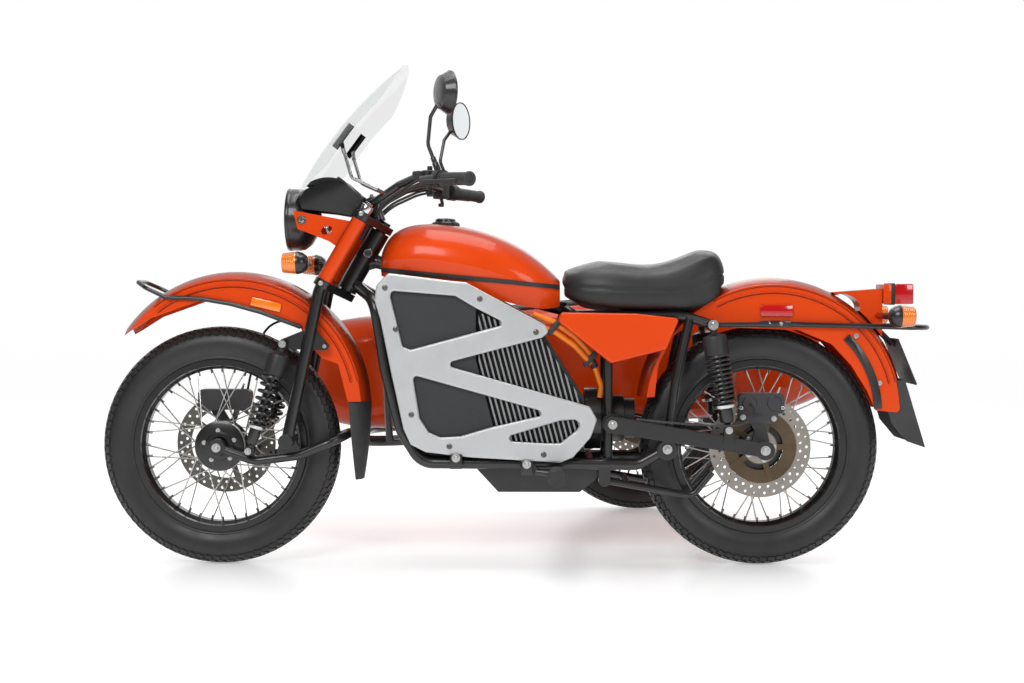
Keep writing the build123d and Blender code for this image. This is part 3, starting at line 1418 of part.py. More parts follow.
sidecar_guard_z = 350.0
sidecar_guard_radius = 372.0
with BuildPart() as sidecar_mudguard:
    mudguard(
        at(sidecar_axle_x, track, sidecar_guard_z),
        sidecar_guard_radius,
        mudguard_half_width,
        120,
        (
            (860, 420), (930, 420), (1010, 560), (1110, 622), (1241, 640), (1372, 622), (1472, 560),
            (1560, 400), (1640, 400), (1640, 760), (860, 760),
        ),
    )
    for x, z in ((1040, 640), (1440, 640)):
        guard_y = track - mudguard_half_width + sheet / 2
        bar([at(x, guard_y, z), at(x, tub_right - 30, z)], 9)
    add(tub_skin.part, mode=Mode.SUBTRACT)
sidecar_mudguard.part.label = "sidecar_mudguard"
export_step(sidecar_mudguard.part, "parts/sidecar_mudguard.step")

lamp_radius = 26.0
with BuildPart() as sidecar_lamps:
    for x, z, turn in ((1010, 655, -1), (1500, 630, 1)):
        with BuildSketch(cross_plane(x, track)) as lamp:
            with Locations((0, z)):
                Circle(lamp_radius)
        extrude(lamp.sketch, amount=turn * 44, taper=8)
    add(sidecar_mudguard.part, mode=Mode.SUBTRACT)
sidecar_lamps.part.label = "sidecar_lamps"
export_step(sidecar_lamps.part, "parts/sidecar_lamps.step")
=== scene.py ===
import logging
import math
from dataclasses import dataclass, field
from enum import Enum
from typing import Callable

import bmesh
import bpy
from mathutils import Matrix, Vector
from mathutils.bvhtree import BVHTree


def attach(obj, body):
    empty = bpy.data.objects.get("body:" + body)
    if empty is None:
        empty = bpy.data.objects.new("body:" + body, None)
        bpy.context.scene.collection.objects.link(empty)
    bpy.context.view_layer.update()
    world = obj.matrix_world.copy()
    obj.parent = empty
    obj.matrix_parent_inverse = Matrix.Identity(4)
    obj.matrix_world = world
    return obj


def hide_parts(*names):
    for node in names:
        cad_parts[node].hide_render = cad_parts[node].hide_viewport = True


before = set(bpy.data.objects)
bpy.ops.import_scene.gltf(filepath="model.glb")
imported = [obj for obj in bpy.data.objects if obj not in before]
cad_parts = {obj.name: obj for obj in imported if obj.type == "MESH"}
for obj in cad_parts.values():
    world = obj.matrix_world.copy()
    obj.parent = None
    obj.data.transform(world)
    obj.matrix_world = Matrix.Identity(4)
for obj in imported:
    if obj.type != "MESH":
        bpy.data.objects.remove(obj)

LOG = logging.getLogger("sidecar_motorcycle")
MM = 0.001
LEFT, RIGHT = -1, 1
SIDES = (LEFT, RIGHT)
ACROSS = Vector((0, 1, 0))
ALONG = Vector((1, 0, 0))
UP = Vector((0, 0, 1))
Colour = tuple[float, float, float]
DUST: Colour = (0.33, 0.29, 0.24)
SHARP_DEG = 34.0
RAY_START = 0.3
ABOVE_ALL = 1500.0


@dataclass(frozen=True)
class Layout:
    """Where the machine stands in the shared frame, in millimetres from the front axle and the ground."""

    origin_x: float = -817.5
    origin_y: float = -397.5
    tyre_radius: float = 332.0
    wheelbase: float = 1500.0
    sidecar_axle_x: float = 1241.0
    track: float = 1140.0
    tub_middle: float = 657.5

    def at(self, x: float, y: float, z: float) -> Vector:
        """A point from the front axle, the bike's centre plane and the ground, in metres.

        Args:
            x: distance behind the front axle.
            y: distance to the right of the bike's centre plane.
            z: height over the ground.

        Returns:
            The point in the shared frame.
        """
        return Vector((x + self.origin_x, y + self.origin_y, z)) * MM


PLACE = Layout()
at = PLACE.at
FRONT_AXLE = at(0, 0, PLACE.tyre_radius)
REAR_AXLE = at(PLACE.wheelbase, 0, PLACE.tyre_radius)
SIDECAR_AXLE = at(PLACE.sidecar_axle_x, PLACE.track, PLACE.tyre_radius)


# ---------------------------------------------------------------- finishes


class Grain(Enum):
    """The kinds of fine relief a finish can have."""

    SMOOTH = "smooth"
    MOULDED = "moulded"
    CAST = "cast"
    LEATHER = "leather"
    BRUSHED = "brushed"


class Graph:
    """A thin layer over a node tree, for building it in few words."""

    def __init__(self, tree: bpy.types.NodeTree) -> None:
        """Work on a tree that already exists."""
        self.tree = tree

    def add(self, kind: str, **settings: object) -> bpy.types.Node:
        """Add a node.

        Args:
            kind: the node's type name.
            **settings: values for the node's own properties.

        Returns:
            The new node.
        """
        node = self.tree.nodes.new(kind)
        for name, value in settings.items():
            setattr(node, name, value)
        return node

    def place(self) -> bpy.types.NodeSocket:
        """The place on the piece, in Object coordinates."""
        return self.add("ShaderNodeTexCoord").outputs["Object"]

    def join(self, source: object, target: bpy.types.NodeSocket) -> None:
        """Link a socket, or set a plain value, on an input.

        Args:
            source: the socket or value.
            target: the input that takes it.
        """
        if isinstance(source, bpy.types.NodeSocket):
            self.tree.links.new(source, target)
        else:
            target.default_value = source

    def calc(self, operation: str, *values: object) -> bpy.types.NodeSocket:
        """A Math node on sockets or numbers.

        Args:
            operation: what the node works out.
            *values: its sockets or numbers, in order.

        Returns:
            The result.
        """
        node = self.add("ShaderNodeMath", operation=operation)
        for value, target in zip(values, node.inputs):
            self.join(value, target)
        return node.outputs[0]

    def mix(self, factor: object, first: object, second: object) -> bpy.types.NodeSocket:
        """A mix of two colours or sockets.

        Args:
            factor: the share of the second one.
            first: the colour at 0.
            second: the colour at 1.

        Returns:
            The mixed colour.
        """
        node = self.add("ShaderNodeMix", data_type="RGBA")
        self.join(factor, node.inputs[0])
        self.join(first, node.inputs[6])
        self.join(second, node.inputs[7])
        return node.outputs[2]

    def noise(self, vector: object, scale: object, detail: float,
              rough: float = 0.55) -> bpy.types.NodeSocket:
        """A noise texture.

        Args:
            vector: the place it is read at.
            scale: how fine it is.
            detail: how many finer layers it has.
            rough: how strong those are.

        Returns:
            The texture's value.
        """
        node = self.add("ShaderNodeTexNoise")
        self.join(vector, node.inputs["Vector"])
        self.join(scale, node.inputs["Scale"])
        node.inputs["Detail"].default_value = detail
        node.inputs["Roughness"].default_value = rough
        return node.outputs[0]

    def ramp(self, value: object, low: float, high: float) -> bpy.types.NodeSocket:
        """A value stretched to 0..1 and held there.

        Args:
            value: the value.
            low: what becomes 0.
            high: what becomes 1.

        Returns:
            The stretched value.
        """
        node = self.add("ShaderNodeMapRange")
        self.join(value, node.inputs[0])
        node.inputs[1].default_value = low
        node.inputs[2].default_value = high
        return node.outputs[0]


class EffectGroup:
    """A shader node group with named sockets, built once and shared by the finishes."""

    _made: dict[str, bpy.types.NodeTree] = {}

    @classmethod
    def open(cls, name: str, inputs: dict[str, float],
             outputs: tuple[str, ...]) -> tuple[Graph, bpy.types.Node, bpy.types.Node]:
        """Start a group.

        Args:
            name: the group's name.
            inputs: each input's name and default value.
            outputs: the names of the outputs.

        Returns:
            The group's graph, its input node and its output node.
        """
        tree = bpy.data.node_groups.new(name, "ShaderNodeTree")
        for label, value in inputs.items():
            socket = tree.interface.new_socket(label, in_out="INPUT", socket_type="NodeSocketFloat")
            socket.default_value = value
        for label in outputs:
            tree.interface.new_socket(label, in_out="OUTPUT", socket_type="NodeSocketFloat")
        graph = Graph(tree)
        cls._made[name] = tree
        return graph, graph.add("NodeGroupInput"), graph.add("NodeGroupOutput")

    @classmethod
    def place(cls, graph: Graph, name: str, **values: object) -> bpy.types.Node:
        """Put a shared group into a material.

        Args:
            graph: the material's graph.
            name: the group's name.
            **values: the material's own values for the group's inputs.

        Returns:
            The group's node.
        """
        if name not in cls._made:
            getattr(cls, "make_" + name)()
        node = graph.add("ShaderNodeGroup", node_tree=cls._made[name])
        for label, value in values.items():
            graph.join(value, node.inputs[label.replace("_", " ").title()])
        return node

    @classmethod
    def make_mottle(cls) -> None:
        """Soft patches that shift a colour and its gloss a little."""
        graph, source, out = cls.open("mottle", {"Scale": 6.0, "Amount": 0.3}, ("Mask",))
        place = graph.place()
        broad = graph.noise(place, source.outputs["Scale"], 3.0)
        fine = graph.noise(place, graph.calc("MULTIPLY", source.outputs["Scale"], 9.0), 2.0)
        both = graph.calc("ADD", graph.calc("MULTIPLY", broad, 0.7), graph.calc("MULTIPLY", fine, 0.3))
        spread = graph.ramp(both, 0.36, 0.64)
        graph.join(graph.calc("MULTIPLY", spread, source.outputs["Amount"]), out.inputs["Mask"])

    @classmethod
    def make_edge_wear(cls) -> None:
        """A mask that is bright where two faces meet, broken up by noise."""
        graph, source, out = cls.open("edge_wear", {"Radius": 0.002, "Amount": 0.5}, ("Mask",))
        soft = graph.add("ShaderNodeBevel", samples=4)
        graph.join(source.outputs["Radius"], soft.inputs["Radius"])
        normal = graph.add("ShaderNodeNewGeometry").outputs["Normal"]
        dot = graph.add("ShaderNodeVectorMath", operation="DOT_PRODUCT")
        graph.join(soft.outputs[0], dot.inputs[0])
        graph.join(normal, dot.inputs[1])
        edge = graph.ramp(dot.outputs["Value"], 0.995, 0.8)
        place = graph.place()
        broken = graph.ramp(graph.noise(place, 90.0, 4.0), 0.42, 0.62)
        worn = graph.calc("MULTIPLY", edge, broken)
        graph.join(graph.calc("MULTIPLY", worn, source.outputs["Amount"]), out.inputs["Mask"])

    @classmethod
    def make_road_dust(cls) -> None:
        """A mask of dust, thicker towards the ground."""
        graph, source, out = cls.open("road_dust", {"Height": 0.5, "Amount": 0.3}, ("Mask",))
        place = graph.place()
        split = graph.add("ShaderNodeSeparateXYZ")
        graph.join(place, split.inputs[0])
        low = graph.calc("SUBTRACT", 1.0, graph.calc("DIVIDE", split.outputs["Z"], source.outputs["Height"]))
        low = graph.calc("MAXIMUM", low, 0.0)
        cloud = graph.ramp(graph.noise(place, 14.0, 6.0), 0.35, 0.75)
        mask = graph.calc("MULTIPLY", graph.calc("MULTIPLY", low, cloud), source.outputs["Amount"])
        graph.join(graph.calc("MINIMUM", mask, 1.0), out.inputs["Mask"])

    @classmethod
    def make_moulded(cls) -> None:
        """The fine spark-eroded grain of moulded plastic and rubber."""
        graph, source, out = cls.open("moulded", {"Scale": 900.0, "Depth": 1.0}, ("Height",))
        place = graph.place()
        grain = graph.noise(place, source.outputs["Scale"], 2.0)
        graph.join(graph.calc("MULTIPLY", grain, source.outputs["Depth"]), out.inputs["Height"])

    @classmethod
    def make_cast(cls) -> None:
        """The pebbled skin of a casting or a powder coat."""
        graph, source, out = cls.open("cast", {"Scale": 350.0, "Depth": 1.0}, ("Height",))
        place = graph.place()
        cells = graph.add("ShaderNodeTexVoronoi", feature="SMOOTH_F1")
        graph.join(place, cells.inputs["Vector"])
        graph.join(source.outputs["Scale"], cells.inputs["Scale"])
        rough = graph.noise(place, graph.calc("MULTIPLY", source.outputs["Scale"], 0.35), 3.0)
        both = graph.calc("ADD", cells.outputs["Distance"], rough)
        graph.join(graph.calc("MULTIPLY", both, source.outputs["Depth"]), out.inputs["Height"])

    @classmethod
    def make_leather(cls) -> None:
        """Grained vinyl: cells with valleys between them."""
        graph, source, out = cls.open("leather", {"Scale": 420.0, "Depth": 1.0}, ("Height",))
        place = graph.place()
        bend = graph.add("ShaderNodeTexNoise")
        graph.join(place, bend.inputs["Vector"])
        bend.inputs["Scale"].default_value = 160.0
        shift = graph.add("ShaderNodeVectorMath", operation="MULTIPLY_ADD")
        graph.join(bend.outputs["Color"], shift.inputs[0])
        shift.inputs[1].default_value = (0.004, 0.004, 0.004)
        graph.join(place, shift.inputs[2])
        cells = graph.add("ShaderNodeTexVoronoi", feature="DISTANCE_TO_EDGE")
        graph.join(shift.outputs[0], cells.inputs["Vector"])
        graph.join(source.outputs["Scale"], cells.inputs["Scale"])
        valley = graph.ramp(cells.outputs["Distance"], 0.0, 0.22)
        graph.join(graph.calc("MULTIPLY", valley, source.outputs["Depth"]), out.inputs["Height"])

    @classmethod
    def make_brushed(cls) -> None:
        """Short scratches along the machine, as on a brushed or linished plate."""
        graph, source, out = cls.open("brushed", {"Scale": 60.0, "Depth": 1.0}, ("Height",))
        place = graph.place()
        stretch = graph.add("ShaderNodeMapping")
        graph.join(place, stretch.inputs["Vector"])
        stretch.inputs["Scale"].default_value = (0.6, 24.0, 24.0)
        lines = graph.noise(stretch.outputs[0], source.outputs["Scale"], 3.0)
        graph.join(graph.calc("MULTIPLY", lines, source.outputs["Depth"]), out.inputs["Height"])


@dataclass(frozen=True)
class Finish:
    """A surface finish: its colour, gloss, relief, wear and dirt, and a painted shade where it turns away
    from the view.
    """

    name: str
    colour: Colour
    second: Colour | None = None
    roughness: float = 0.45
    metallic: float = 0.0
    coat: float = 0.0
    coat_roughness: float = 0.06
    sheen_level: float = 0.5
    grain: Grain = Grain.SMOOTH
    grain_scale: float = 500.0
    grain_depth: float = 0.0
    mottle: float = 0.4
    wear: Colour | None = None
    wear_amount: float = 0.0
    dust: float = 0.0
    glow: float = 0.0
    clear: float = 0.0
    refraction: float = 1.45
    # deep: the dark tone that the colour turns to at grazing angles, a painted shade.
    deep: Colour | None = None
    rounding: float = 0.0

    def base(self, graph: Graph) -> bpy.types.NodeSocket:
        """The colour before wear and dust: two tones mixed in soft patches.

        Args:
            graph: the material's graph.

        Returns:
            The colour.
        """
        second = self.second or tuple(min(1.0, part * 1.25 + 0.004) for part in self.colour)
        patches = EffectGroup.place(graph, "mottle", scale=7.0, amount=self.mottle).outputs["Mask"]
        return graph.mix(patches, (*self.colour, 1), (*second, 1))

    def build(self) -> bpy.types.Material:
        """Make the material with its nodes.

        Returns:
            The finished material.
        """
        material = bpy.data.materials.new(self.name)
        material.use_nodes = True
        graph = Graph(material.node_tree)
        graph.tree.nodes.clear()
        shader = graph.add("ShaderNodeBsdfPrincipled")
        graph.join(shader.outputs[0], graph.add("ShaderNodeOutputMaterial").inputs["Surface"])
        colour = self.base(graph)
        patches = EffectGroup.place(graph, "mottle", scale=23.0, amount=1.0).outputs["Mask"]
        spread = graph.calc("MULTIPLY", patches, self.roughness * 0.24)
        rough = graph.calc("ADD", self.roughness * 0.88, spread)
        # Painted shade: the colour turns to the deep tone where the surface faces away from the view,
        # darkening its rounded edges.
        if self.deep:
            facing = graph.add("ShaderNodeLayerWeight")
            facing.inputs["Blend"].default_value = 0.42
            colour = graph.mix(graph.ramp(facing.outputs["Facing"], 0.12, 0.92), colour, (*self.deep, 1))
        if self.wear and self.wear_amount:
            wear = EffectGroup.place(graph, "edge_wear", radius=0.0016, amount=self.wear_amount)
            colour = graph.mix(wear.outputs["Mask"], colour, (*self.wear, 1))
        if self.dust:
            mask = EffectGroup.place(graph, "road_dust", height=0.7, amount=self.dust).outputs["Mask"]
            colour = graph.mix(mask, colour, (*DUST, 1))
            rough = graph.calc("ADD", rough, graph.calc("MULTIPLY", mask, 0.3))
        graph.join(colour, shader.inputs["Base Color"])
        graph.join(rough, shader.inputs["Roughness"])
        shader.inputs["Metallic"].default_value = self.metallic
        shader.inputs["Specular IOR Level"].default_value = self.sheen_level
        shader.inputs["Coat Weight"].default_value = self.coat
        shader.inputs["Coat Roughness"].default_value = self.coat_roughness
        if self.clear:
            shader.inputs["Transmission Weight"].default_value = self.clear
            shader.inputs["IOR"].default_value = self.refraction
        # The glow adds the colour as light; on the reflectors, which are no lamps, it is painted light.
        if self.glow:
            graph.join(colour, shader.inputs["Emission Color"])
            shader.inputs["Emission Strength"].default_value = self.glow
        soft = None
        if self.rounding:
            soft = graph.add("ShaderNodeBevel", samples=6)
            soft.inputs["Radius"].default_value = self.rounding * MM
            graph.join(soft.outputs[0], shader.inputs["Normal"])
        if self.grain is not Grain.SMOOTH and self.grain_depth:
            relief = EffectGroup.place(graph, self.grain.value, scale=self.grain_scale, depth=1.0)
            bump = graph.add("ShaderNodeBump")
            bump.inputs["Strength"].default_value = 0.6
            bump.inputs["Distance"].default_value = self.grain_depth * MM
            graph.join(relief.outputs["Height"], bump.inputs["Height"])
            if soft:
                graph.join(soft.outputs[0], bump.inputs["Normal"])
            graph.join(bump.outputs[0], shader.inputs["Normal"])
        return material


@dataclass(frozen=True)
class SplitFinish(Finish):
    """A finish that changes to another colour past a plane, for a node moulded in two colours."""

    axis: int = 0
    edge: float = 0.0
    beyond: Colour = (0.5, 0.5, 0.5)
    centre: float | None = None

    def base(self, graph: Graph) -> bpy.types.NodeSocket:
        """The two colours, parted at the edge along one axis, or by the distance from a centre.

        Args:
            graph: the material's graph.

        Returns:
            The colour.
        """
        colour = super().base(graph)
        split = graph.add("ShaderNodeSeparateXYZ")
        graph.join(graph.place(), split.inputs[0])
        value = split.outputs[self.axis]
        if self.centre is not None:
            value = graph.calc("ABSOLUTE", graph.calc("SUBTRACT", value, self.centre))
        side = graph.calc("GREATER_THAN", value, self.edge)
        return graph.mix(side, colour, (*self.beyond, 1))


@dataclass(frozen=True)
class RingFinish(Finish):
    """A wheel's finish with a ring of another metal, told apart by the distance from the axle."""

    axle: tuple[float, float] = (0.0, 0.0)
    inner: float = 0.067
    outer: float = 0.2135
    ring: Colour = (0.5, 0.49, 0.47)

    def build(self) -> bpy.types.Material:
        """Make the material, with the other metal between the inner and the outer radius.

        Returns:
            The finished material.
        """
        material = super().build()
        graph = Graph(material.node_tree)
        shader = next(n for n in graph.tree.nodes if n.type == "BSDF_PRINCIPLED")
        split = graph.add("ShaderNodeSeparateXYZ")
        graph.join(graph.place(), split.inputs[0])
        across = graph.calc("SUBTRACT", split.outputs["X"], self.axle[0])
        above = graph.calc("SUBTRACT", split.outputs["Z"], self.axle[1])
        squares = [graph.calc("MULTIPLY", part, part) for part in (across, above)]
        radius = graph.calc("SQRT", graph.calc("ADD", *squares))
        past_hub = graph.calc("GREATER_THAN", radius, self.inner)
        before_rim = graph.calc("LESS_THAN", radius, self.outer)
        mask = graph.calc("MULTIPLY", past_hub, before_rim)
        black = shader.inputs["Base Color"].links[0].from_socket
        graph.join(graph.mix(mask, black, (*self.ring, 1)), shader.inputs["Base Color"])
        graph.join(graph.calc("MAXIMUM", mask, self.metallic), shader.inputs["Metallic"])
        return material


def carrier_disc(name: str, axle: Vector) -> RingFinish:
    """The finish of a steel brake disc with its bronze carrier in one.

    Args:
        name: the finish's name.
        axle: the disc's middle.

    Returns:
        The finish.
    """
    return RingFinish(name, (0.34, 0.31, 0.28), (0.42, 0.39, 0.35), 0.34, metallic=1.0, mottle=0.8,
                      axle=(axle.x, axle.z), inner=0.046, outer=0.101, ring=(0.14, 0.1, 0.065))


class Finishes:
    """The finishes of this machine, each made into a material when first asked for."""

    # The paint's deep tone is painted shade: a dark red where the panels turn away from the view.
    paint = Finish(
        "orange_paint", (0.72, 0.058, 0.003), (0.78, 0.068, 0.004), 0.36, coat=0.4, coat_roughness=0.13,
        sheen_level=0.1, mottle=0.3, deep=(0.11, 0.004, 0.001),
    )
    satin_black = Finish(
        "satin_black", (0.009, 0.009, 0.0095), roughness=0.32, coat=0.3, grain=Grain.CAST, grain_scale=420,
        grain_depth=0.06, wear=(0.12, 0.12, 0.12), wear_amount=0.3, dust=0.04, rounding=3.0,
    )
    plastic = Finish(
        "black_plastic", (0.016, 0.016, 0.017), roughness=0.5, grain=Grain.MOULDED, grain_scale=900,
        grain_depth=0.12, wear=(0.08, 0.08, 0.08), wear_amount=0.3,
    )
    panel_black = Finish(
        "panel_black", (0.022, 0.024, 0.026), roughness=0.5, grain=Grain.MOULDED, grain_scale=700,
        grain_depth=0.1,
    )
    tyre = Finish(
        "tyre_rubber", (0.017, 0.017, 0.018), (0.022, 0.022, 0.022), 0.44, grain=Grain.MOULDED,
        grain_scale=600, grain_depth=0.1, mottle=0.3, wear=(0.05, 0.05, 0.049), wear_amount=0.4, dust=0.03,
    )
    rubber = Finish(
        "soft_rubber", (0.03, 0.03, 0.031), roughness=0.6, grain=Grain.MOULDED, grain_scale=800,
        grain_depth=0.12, dust=0.1,
    )
    vinyl = Finish(
        "vinyl", (0.012, 0.012, 0.013), (0.018, 0.018, 0.019), 0.42, grain=Grain.LEATHER, grain_scale=430,
        grain_depth=0.16, mottle=0.6,
    )
    alloy = Finish(
        "cast_alloy", (0.58, 0.59, 0.6), (0.66, 0.67, 0.68), 0.34, metallic=0.5, grain=Grain.BRUSHED,
        grain_scale=60, grain_depth=0.03, wear=(0.86, 0.87, 0.88), wear_amount=0.5, rounding=5.0,
    )
    fins = SplitFinish(
        "sink_alloy", (0.03, 0.031, 0.033), roughness=0.4, metallic=0.6, axis=1, centre=PLACE.origin_y * MM,
        edge=0.1372, beyond=(0.3, 0.3, 0.305),
    )
    bright = Finish("bright_metal", (0.6, 0.6, 0.6), roughness=0.18, metallic=1.0, mottle=0.3)
    carrier = Finish(
        "bronze_carrier", (0.12, 0.085, 0.055), (0.16, 0.12, 0.08), 0.42, metallic=0.8, mottle=0.6,
        wear=(0.3, 0.24, 0.18), wear_amount=0.4,
    )
    # The dark red of the thin line under each pressed rib on the mudguards: painted shade of the groove.
    seam = Finish("seam_shade", (0.1, 0.008, 0.003), roughness=0.5, sheen_level=0.2, mottle=0.3)
    zinc = Finish(
        "zinc_bolts", (0.58, 0.58, 0.57), (0.66, 0.66, 0.65), 0.3, metallic=1.0, wear=(0.8, 0.8, 0.8),
        wear_amount=0.4,
    )
    disc = carrier_disc("disc_steel", REAR_AXLE)
    side_disc = carrier_disc("side_disc_steel", SIDECAR_AXLE)
    dark_disc = Finish(
        "dark_disc_steel", (0.13, 0.125, 0.115), (0.2, 0.19, 0.17), 0.36, metallic=1.0, grain=Grain.BRUSHED,
        grain_scale=120, grain_depth=0.04, mottle=0.8,
    )
    caliper = Finish(
        "caliper_grey", (0.035, 0.035, 0.038), roughness=0.42, grain=Grain.CAST, grain_scale=380,
        grain_depth=0.14, wear=(0.2, 0.2, 0.2), wear_amount=0.5,
    )
    # Its deep tone is painted shade at grazing angles; its glow, on the front reflectors that share it, is
    # painted light.
    amber = Finish(
        "lamp_amber", (0.82, 0.2, 0.006), (0.86, 0.23, 0.008), 0.16, coat=1.0, glow=0.1, mottle=0.2,
        deep=(0.42, 0.06, 0.002),
    )
    # Its deep tone is painted shade at grazing angles; its glow, on the rear reflectors that share it, is
    # painted light.
    red = Finish(
        "lamp_red", (0.5, 0.006, 0.008), (0.56, 0.008, 0.01), 0.16, coat=1.0, glow=0.08, mottle=0.2,
        deep=(0.2, 0.002, 0.003),
    )
    orange_cable = Finish("cable_orange", (0.85, 0.2, 0.012), roughness=0.42, mottle=0.5)
    screen = Finish(
        "clear_sheet", (0.85, 0.86, 0.86), (0.87, 0.88, 0.88), 0.0, clear=1.0, refraction=1.0005, coat=0.3,
        mottle=0.2,
    )
    lamp_glass = Finish("lamp_glass", (0.95, 0.97, 0.98), (0.97, 0.98, 0.99), 0.04, clear=0.95, mottle=0.2)
    glass = Finish("mirror_glass", (0.8, 0.82, 0.84), roughness=0.05, metallic=1.0, mottle=0.1)
    struts = SplitFinish(
        "struts", (0.4, 0.4, 0.41), roughness=0.24, metallic=1.0, axis=1, centre=PLACE.origin_y * MM,
        edge=0.1365, beyond=(0.02, 0.02, 0.02),
    )

    _materials: dict[str, bpy.types.Material] = {}

    @classmethod
    def material(cls, finish: Finish) -> bpy.types.Material:
        """The finish's material, made once.

        Args:
            finish: the finish.

        Returns:
            Its material.
        """
        if finish.name not in cls._materials:
            cls._materials[finish.name] = finish.build()
        return cls._materials[finish.name]


# ---------------------------------------------------------------- shapes


def turned(axis: Vector) -> Matrix:
    """A rotation that takes +Z to an axis."""
    return axis.to_track_quat("Z", "Y").to_matrix().to_4x4()


def round_axle(count: int, offset: float = 0.0) -> list[Vector]:
    """Directions spread evenly round a cross axis.

    Args:
        count: how many.
        offset: where the first one lies, in radians from straight back.

    Returns:
        One unit vector for each.
    """
    turns = [math.tau * index / count + offset for index in range(count)]
    return [Vector((math.cos(turn), 0, math.sin(turn))) for turn in turns]


def surface_tree(node: str) -> BVHTree:
    """A tree of a node's faces, for rays against its outside."""
    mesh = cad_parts[node].data
    return BVHTree.FromPolygons([v.co for v in mesh.vertices], [p.vertices for p in mesh.polygons])


def sector(x: float, z: float, inner: float, outer: float, from_deg: float, to_deg: float,
           steps: int = 10) -> list[tuple[float, float]]:
    """The outline of a curved strap, in millimetres.

    Args:
        x: its centre's distance behind the front axle.
        z: its centre's height.
        inner: its inner radius.
        outer: its outer radius.
        from_deg: where it starts, from straight back.
        to_deg: where it ends.
        steps: how many points each of its two arcs has, less one.

    Returns:
        The corners, for Shape.plate().
    """
    turns = [math.radians(from_deg + (to_deg - from_deg) * index / steps) for index in range(steps + 1)]
    out = [(x + outer * math.cos(turn), z + outer * math.sin(turn)) for turn in turns]
    back = [(x + inner * math.cos(turn), z + inner * math.sin(turn)) for turn in reversed(turns)]
    return out + back


class Shape:
    """A mesh in the making, in metres, shaped with bmesh operators."""

    def __init__(self) -> None:
        """Start with nothing."""
        self.bm = bmesh.new()
        self.made = self.bm.faces.layers.int.new("made")

    def _mark(self, slot: int) -> None:
        """Mark all faces so far, so that the next ones can be told from them.

        Args:
            slot: the slot that the next faces get. Slot 0 needs no mark.
        """
        if slot:
            for face in self.bm.faces:
                face[self.made] = 1

    def _fresh(self, slot: int) -> None:
        """Give the faces made since the last mark their material slot.

        Args:
            slot: the material slot.
        """
        if slot:
            for face in self.bm.faces:
                if not face[self.made]:
                    face.material_index = slot

    def lathe(self, profile: list[tuple[float, float]], foot: Vector, axis: Vector, steps: int = 64,
              slot: int = 0, angle: float = math.tau, start: Vector | None = None) -> "Shape":
        """Spin a profile about an axis.

        Args:
            profile: radius and distance along the axis of each corner, in millimetres.
            foot: where the axis starts.
            axis: the direction of the axis.
            steps: how many steps the turn has.
            slot: the material slot.
            angle: how far it is spun.
            start: the direction in which the profile lies at first.

        Returns:
            This shape.
        """
        self._mark(slot)
        axis = axis.normalized()
        out = (start or axis.orthogonal()).normalized()
        corners = [self.bm.verts.new(foot + out * r * MM + axis * h * MM) for r, h in profile]
        edges = [self.bm.edges.new(pair) for pair in zip(corners, corners[1:])]
        full = abs(angle - math.tau) < 1e-6
        bmesh.ops.spin(self.bm, geom=corners + edges, cent=foot, axis=axis, angle=angle, steps=steps,
                       use_merge=full)
        self._fresh(slot)
        axial = [v for v in self.bm.verts if v.is_valid and (v.co - foot).cross(axis).length < 2e-6]
        bmesh.ops.remove_doubles(self.bm, verts=axial, dist=2e-6)
        return self

    def rod(self, start: Vector, end: Vector, radius: float, sides: int = 20, slot: int = 0,
            taper: float = 1.0, soften: float = 0.0) -> "Shape":
        """Add a round rod or cone between two points, its ends softened by a bevel.

        Args:
            start: the first end.
            end: the other end.
            radius: in millimetres.
            sides: how many sides.
            slot: the material slot.
            taper: the end's radius as a share of the start's.
            soften: the bevel at both ends, in millimetres.

        Returns:
            This shape.
        """
        self._mark(slot)
        run = end - start
        place = Matrix.Translation((start + end) / 2) @ turned(run)
        made = bmesh.ops.create_cone(
            self.bm, cap_ends=True, segments=sides, radius1=radius * MM, radius2=radius * taper * MM,
            depth=run.length, matrix=place,
        )
        if soften:
            rims = [e for e in {e for v in made["verts"] for e in v.link_edges}
                    if {len(f.verts) for f in e.link_faces} == {4, sides}]
            bmesh.ops.bevel(self.bm, geom=rims, offset=soften * MM, segments=2, profile=0.5, affect="EDGES",
                            material=-1)
        self._fresh(slot)
        return self

    def block(self, centre: Vector, size: tuple[float, float, float], soften: float = 1.0, slot: int = 0,
              turn: Matrix | None = None, segments: int = 2) -> "Shape":
        """Add a box with softened edges.

        Args:
            centre: its middle.
            size: its sides in millimetres.
            soften: the bevel in millimetres.
            slot: the material slot.
            turn: a rotation.
            segments: steps in the bevel.

        Returns:
            This shape.
        """
        self._mark(slot)
        scale = Matrix.Diagonal((*(side * MM for side in size), 1))
        place = Matrix.Translation(centre) @ (turn or Matrix.Identity(4)) @ scale
        made = bmesh.ops.create_cube(self.bm, size=1.0, matrix=place)
        if soften:
            edges = list({e for v in made["verts"] for e in v.link_edges})
            bmesh.ops.bevel(self.bm, geom=edges, offset=soften * MM, segments=segments, profile=0.5,
                            affect="EDGES", material=-1)
        self._fresh(slot)
        return self

    def plate(self, outline: list[tuple[float, float]], y: float, thick: float, soften: float = 1.0,
              slot: int = 0) -> "Shape":
        """Add a flat plate with a side-view outline, extruded across the machine.

        Args:
            outline: distance behind the front axle and height of each corner, in millimetres.
            y: how far across its middle lies.
            thick: its thickness in millimetres.
            soften: the bevel in millimetres.
            slot: the material slot.

        Returns:
            This shape.
        """
        self._mark(slot)
        rim = [self.bm.verts.new(at(x, y - thick / 2, z)) for x, z in outline]
        face = self.bm.faces.new(rim)
        pushed = bmesh.ops.extrude_face_region(self.bm, geom=[face], use_keep_orig=True)["geom"]
        moved = [v for v in pushed if isinstance(v, bmesh.types.BMVert)]
        bmesh.ops.translate(self.bm, verts=moved, vec=ACROSS * thick * MM)
        if soften:
            edges = list({e for v in rim + moved for e in v.link_edges})
            bmesh.ops.bevel(self.bm, geom=edges, offset=soften * MM, segments=2, profile=0.5, affect="EDGES",
                            material=-1)
        self._fresh(slot)
        return self

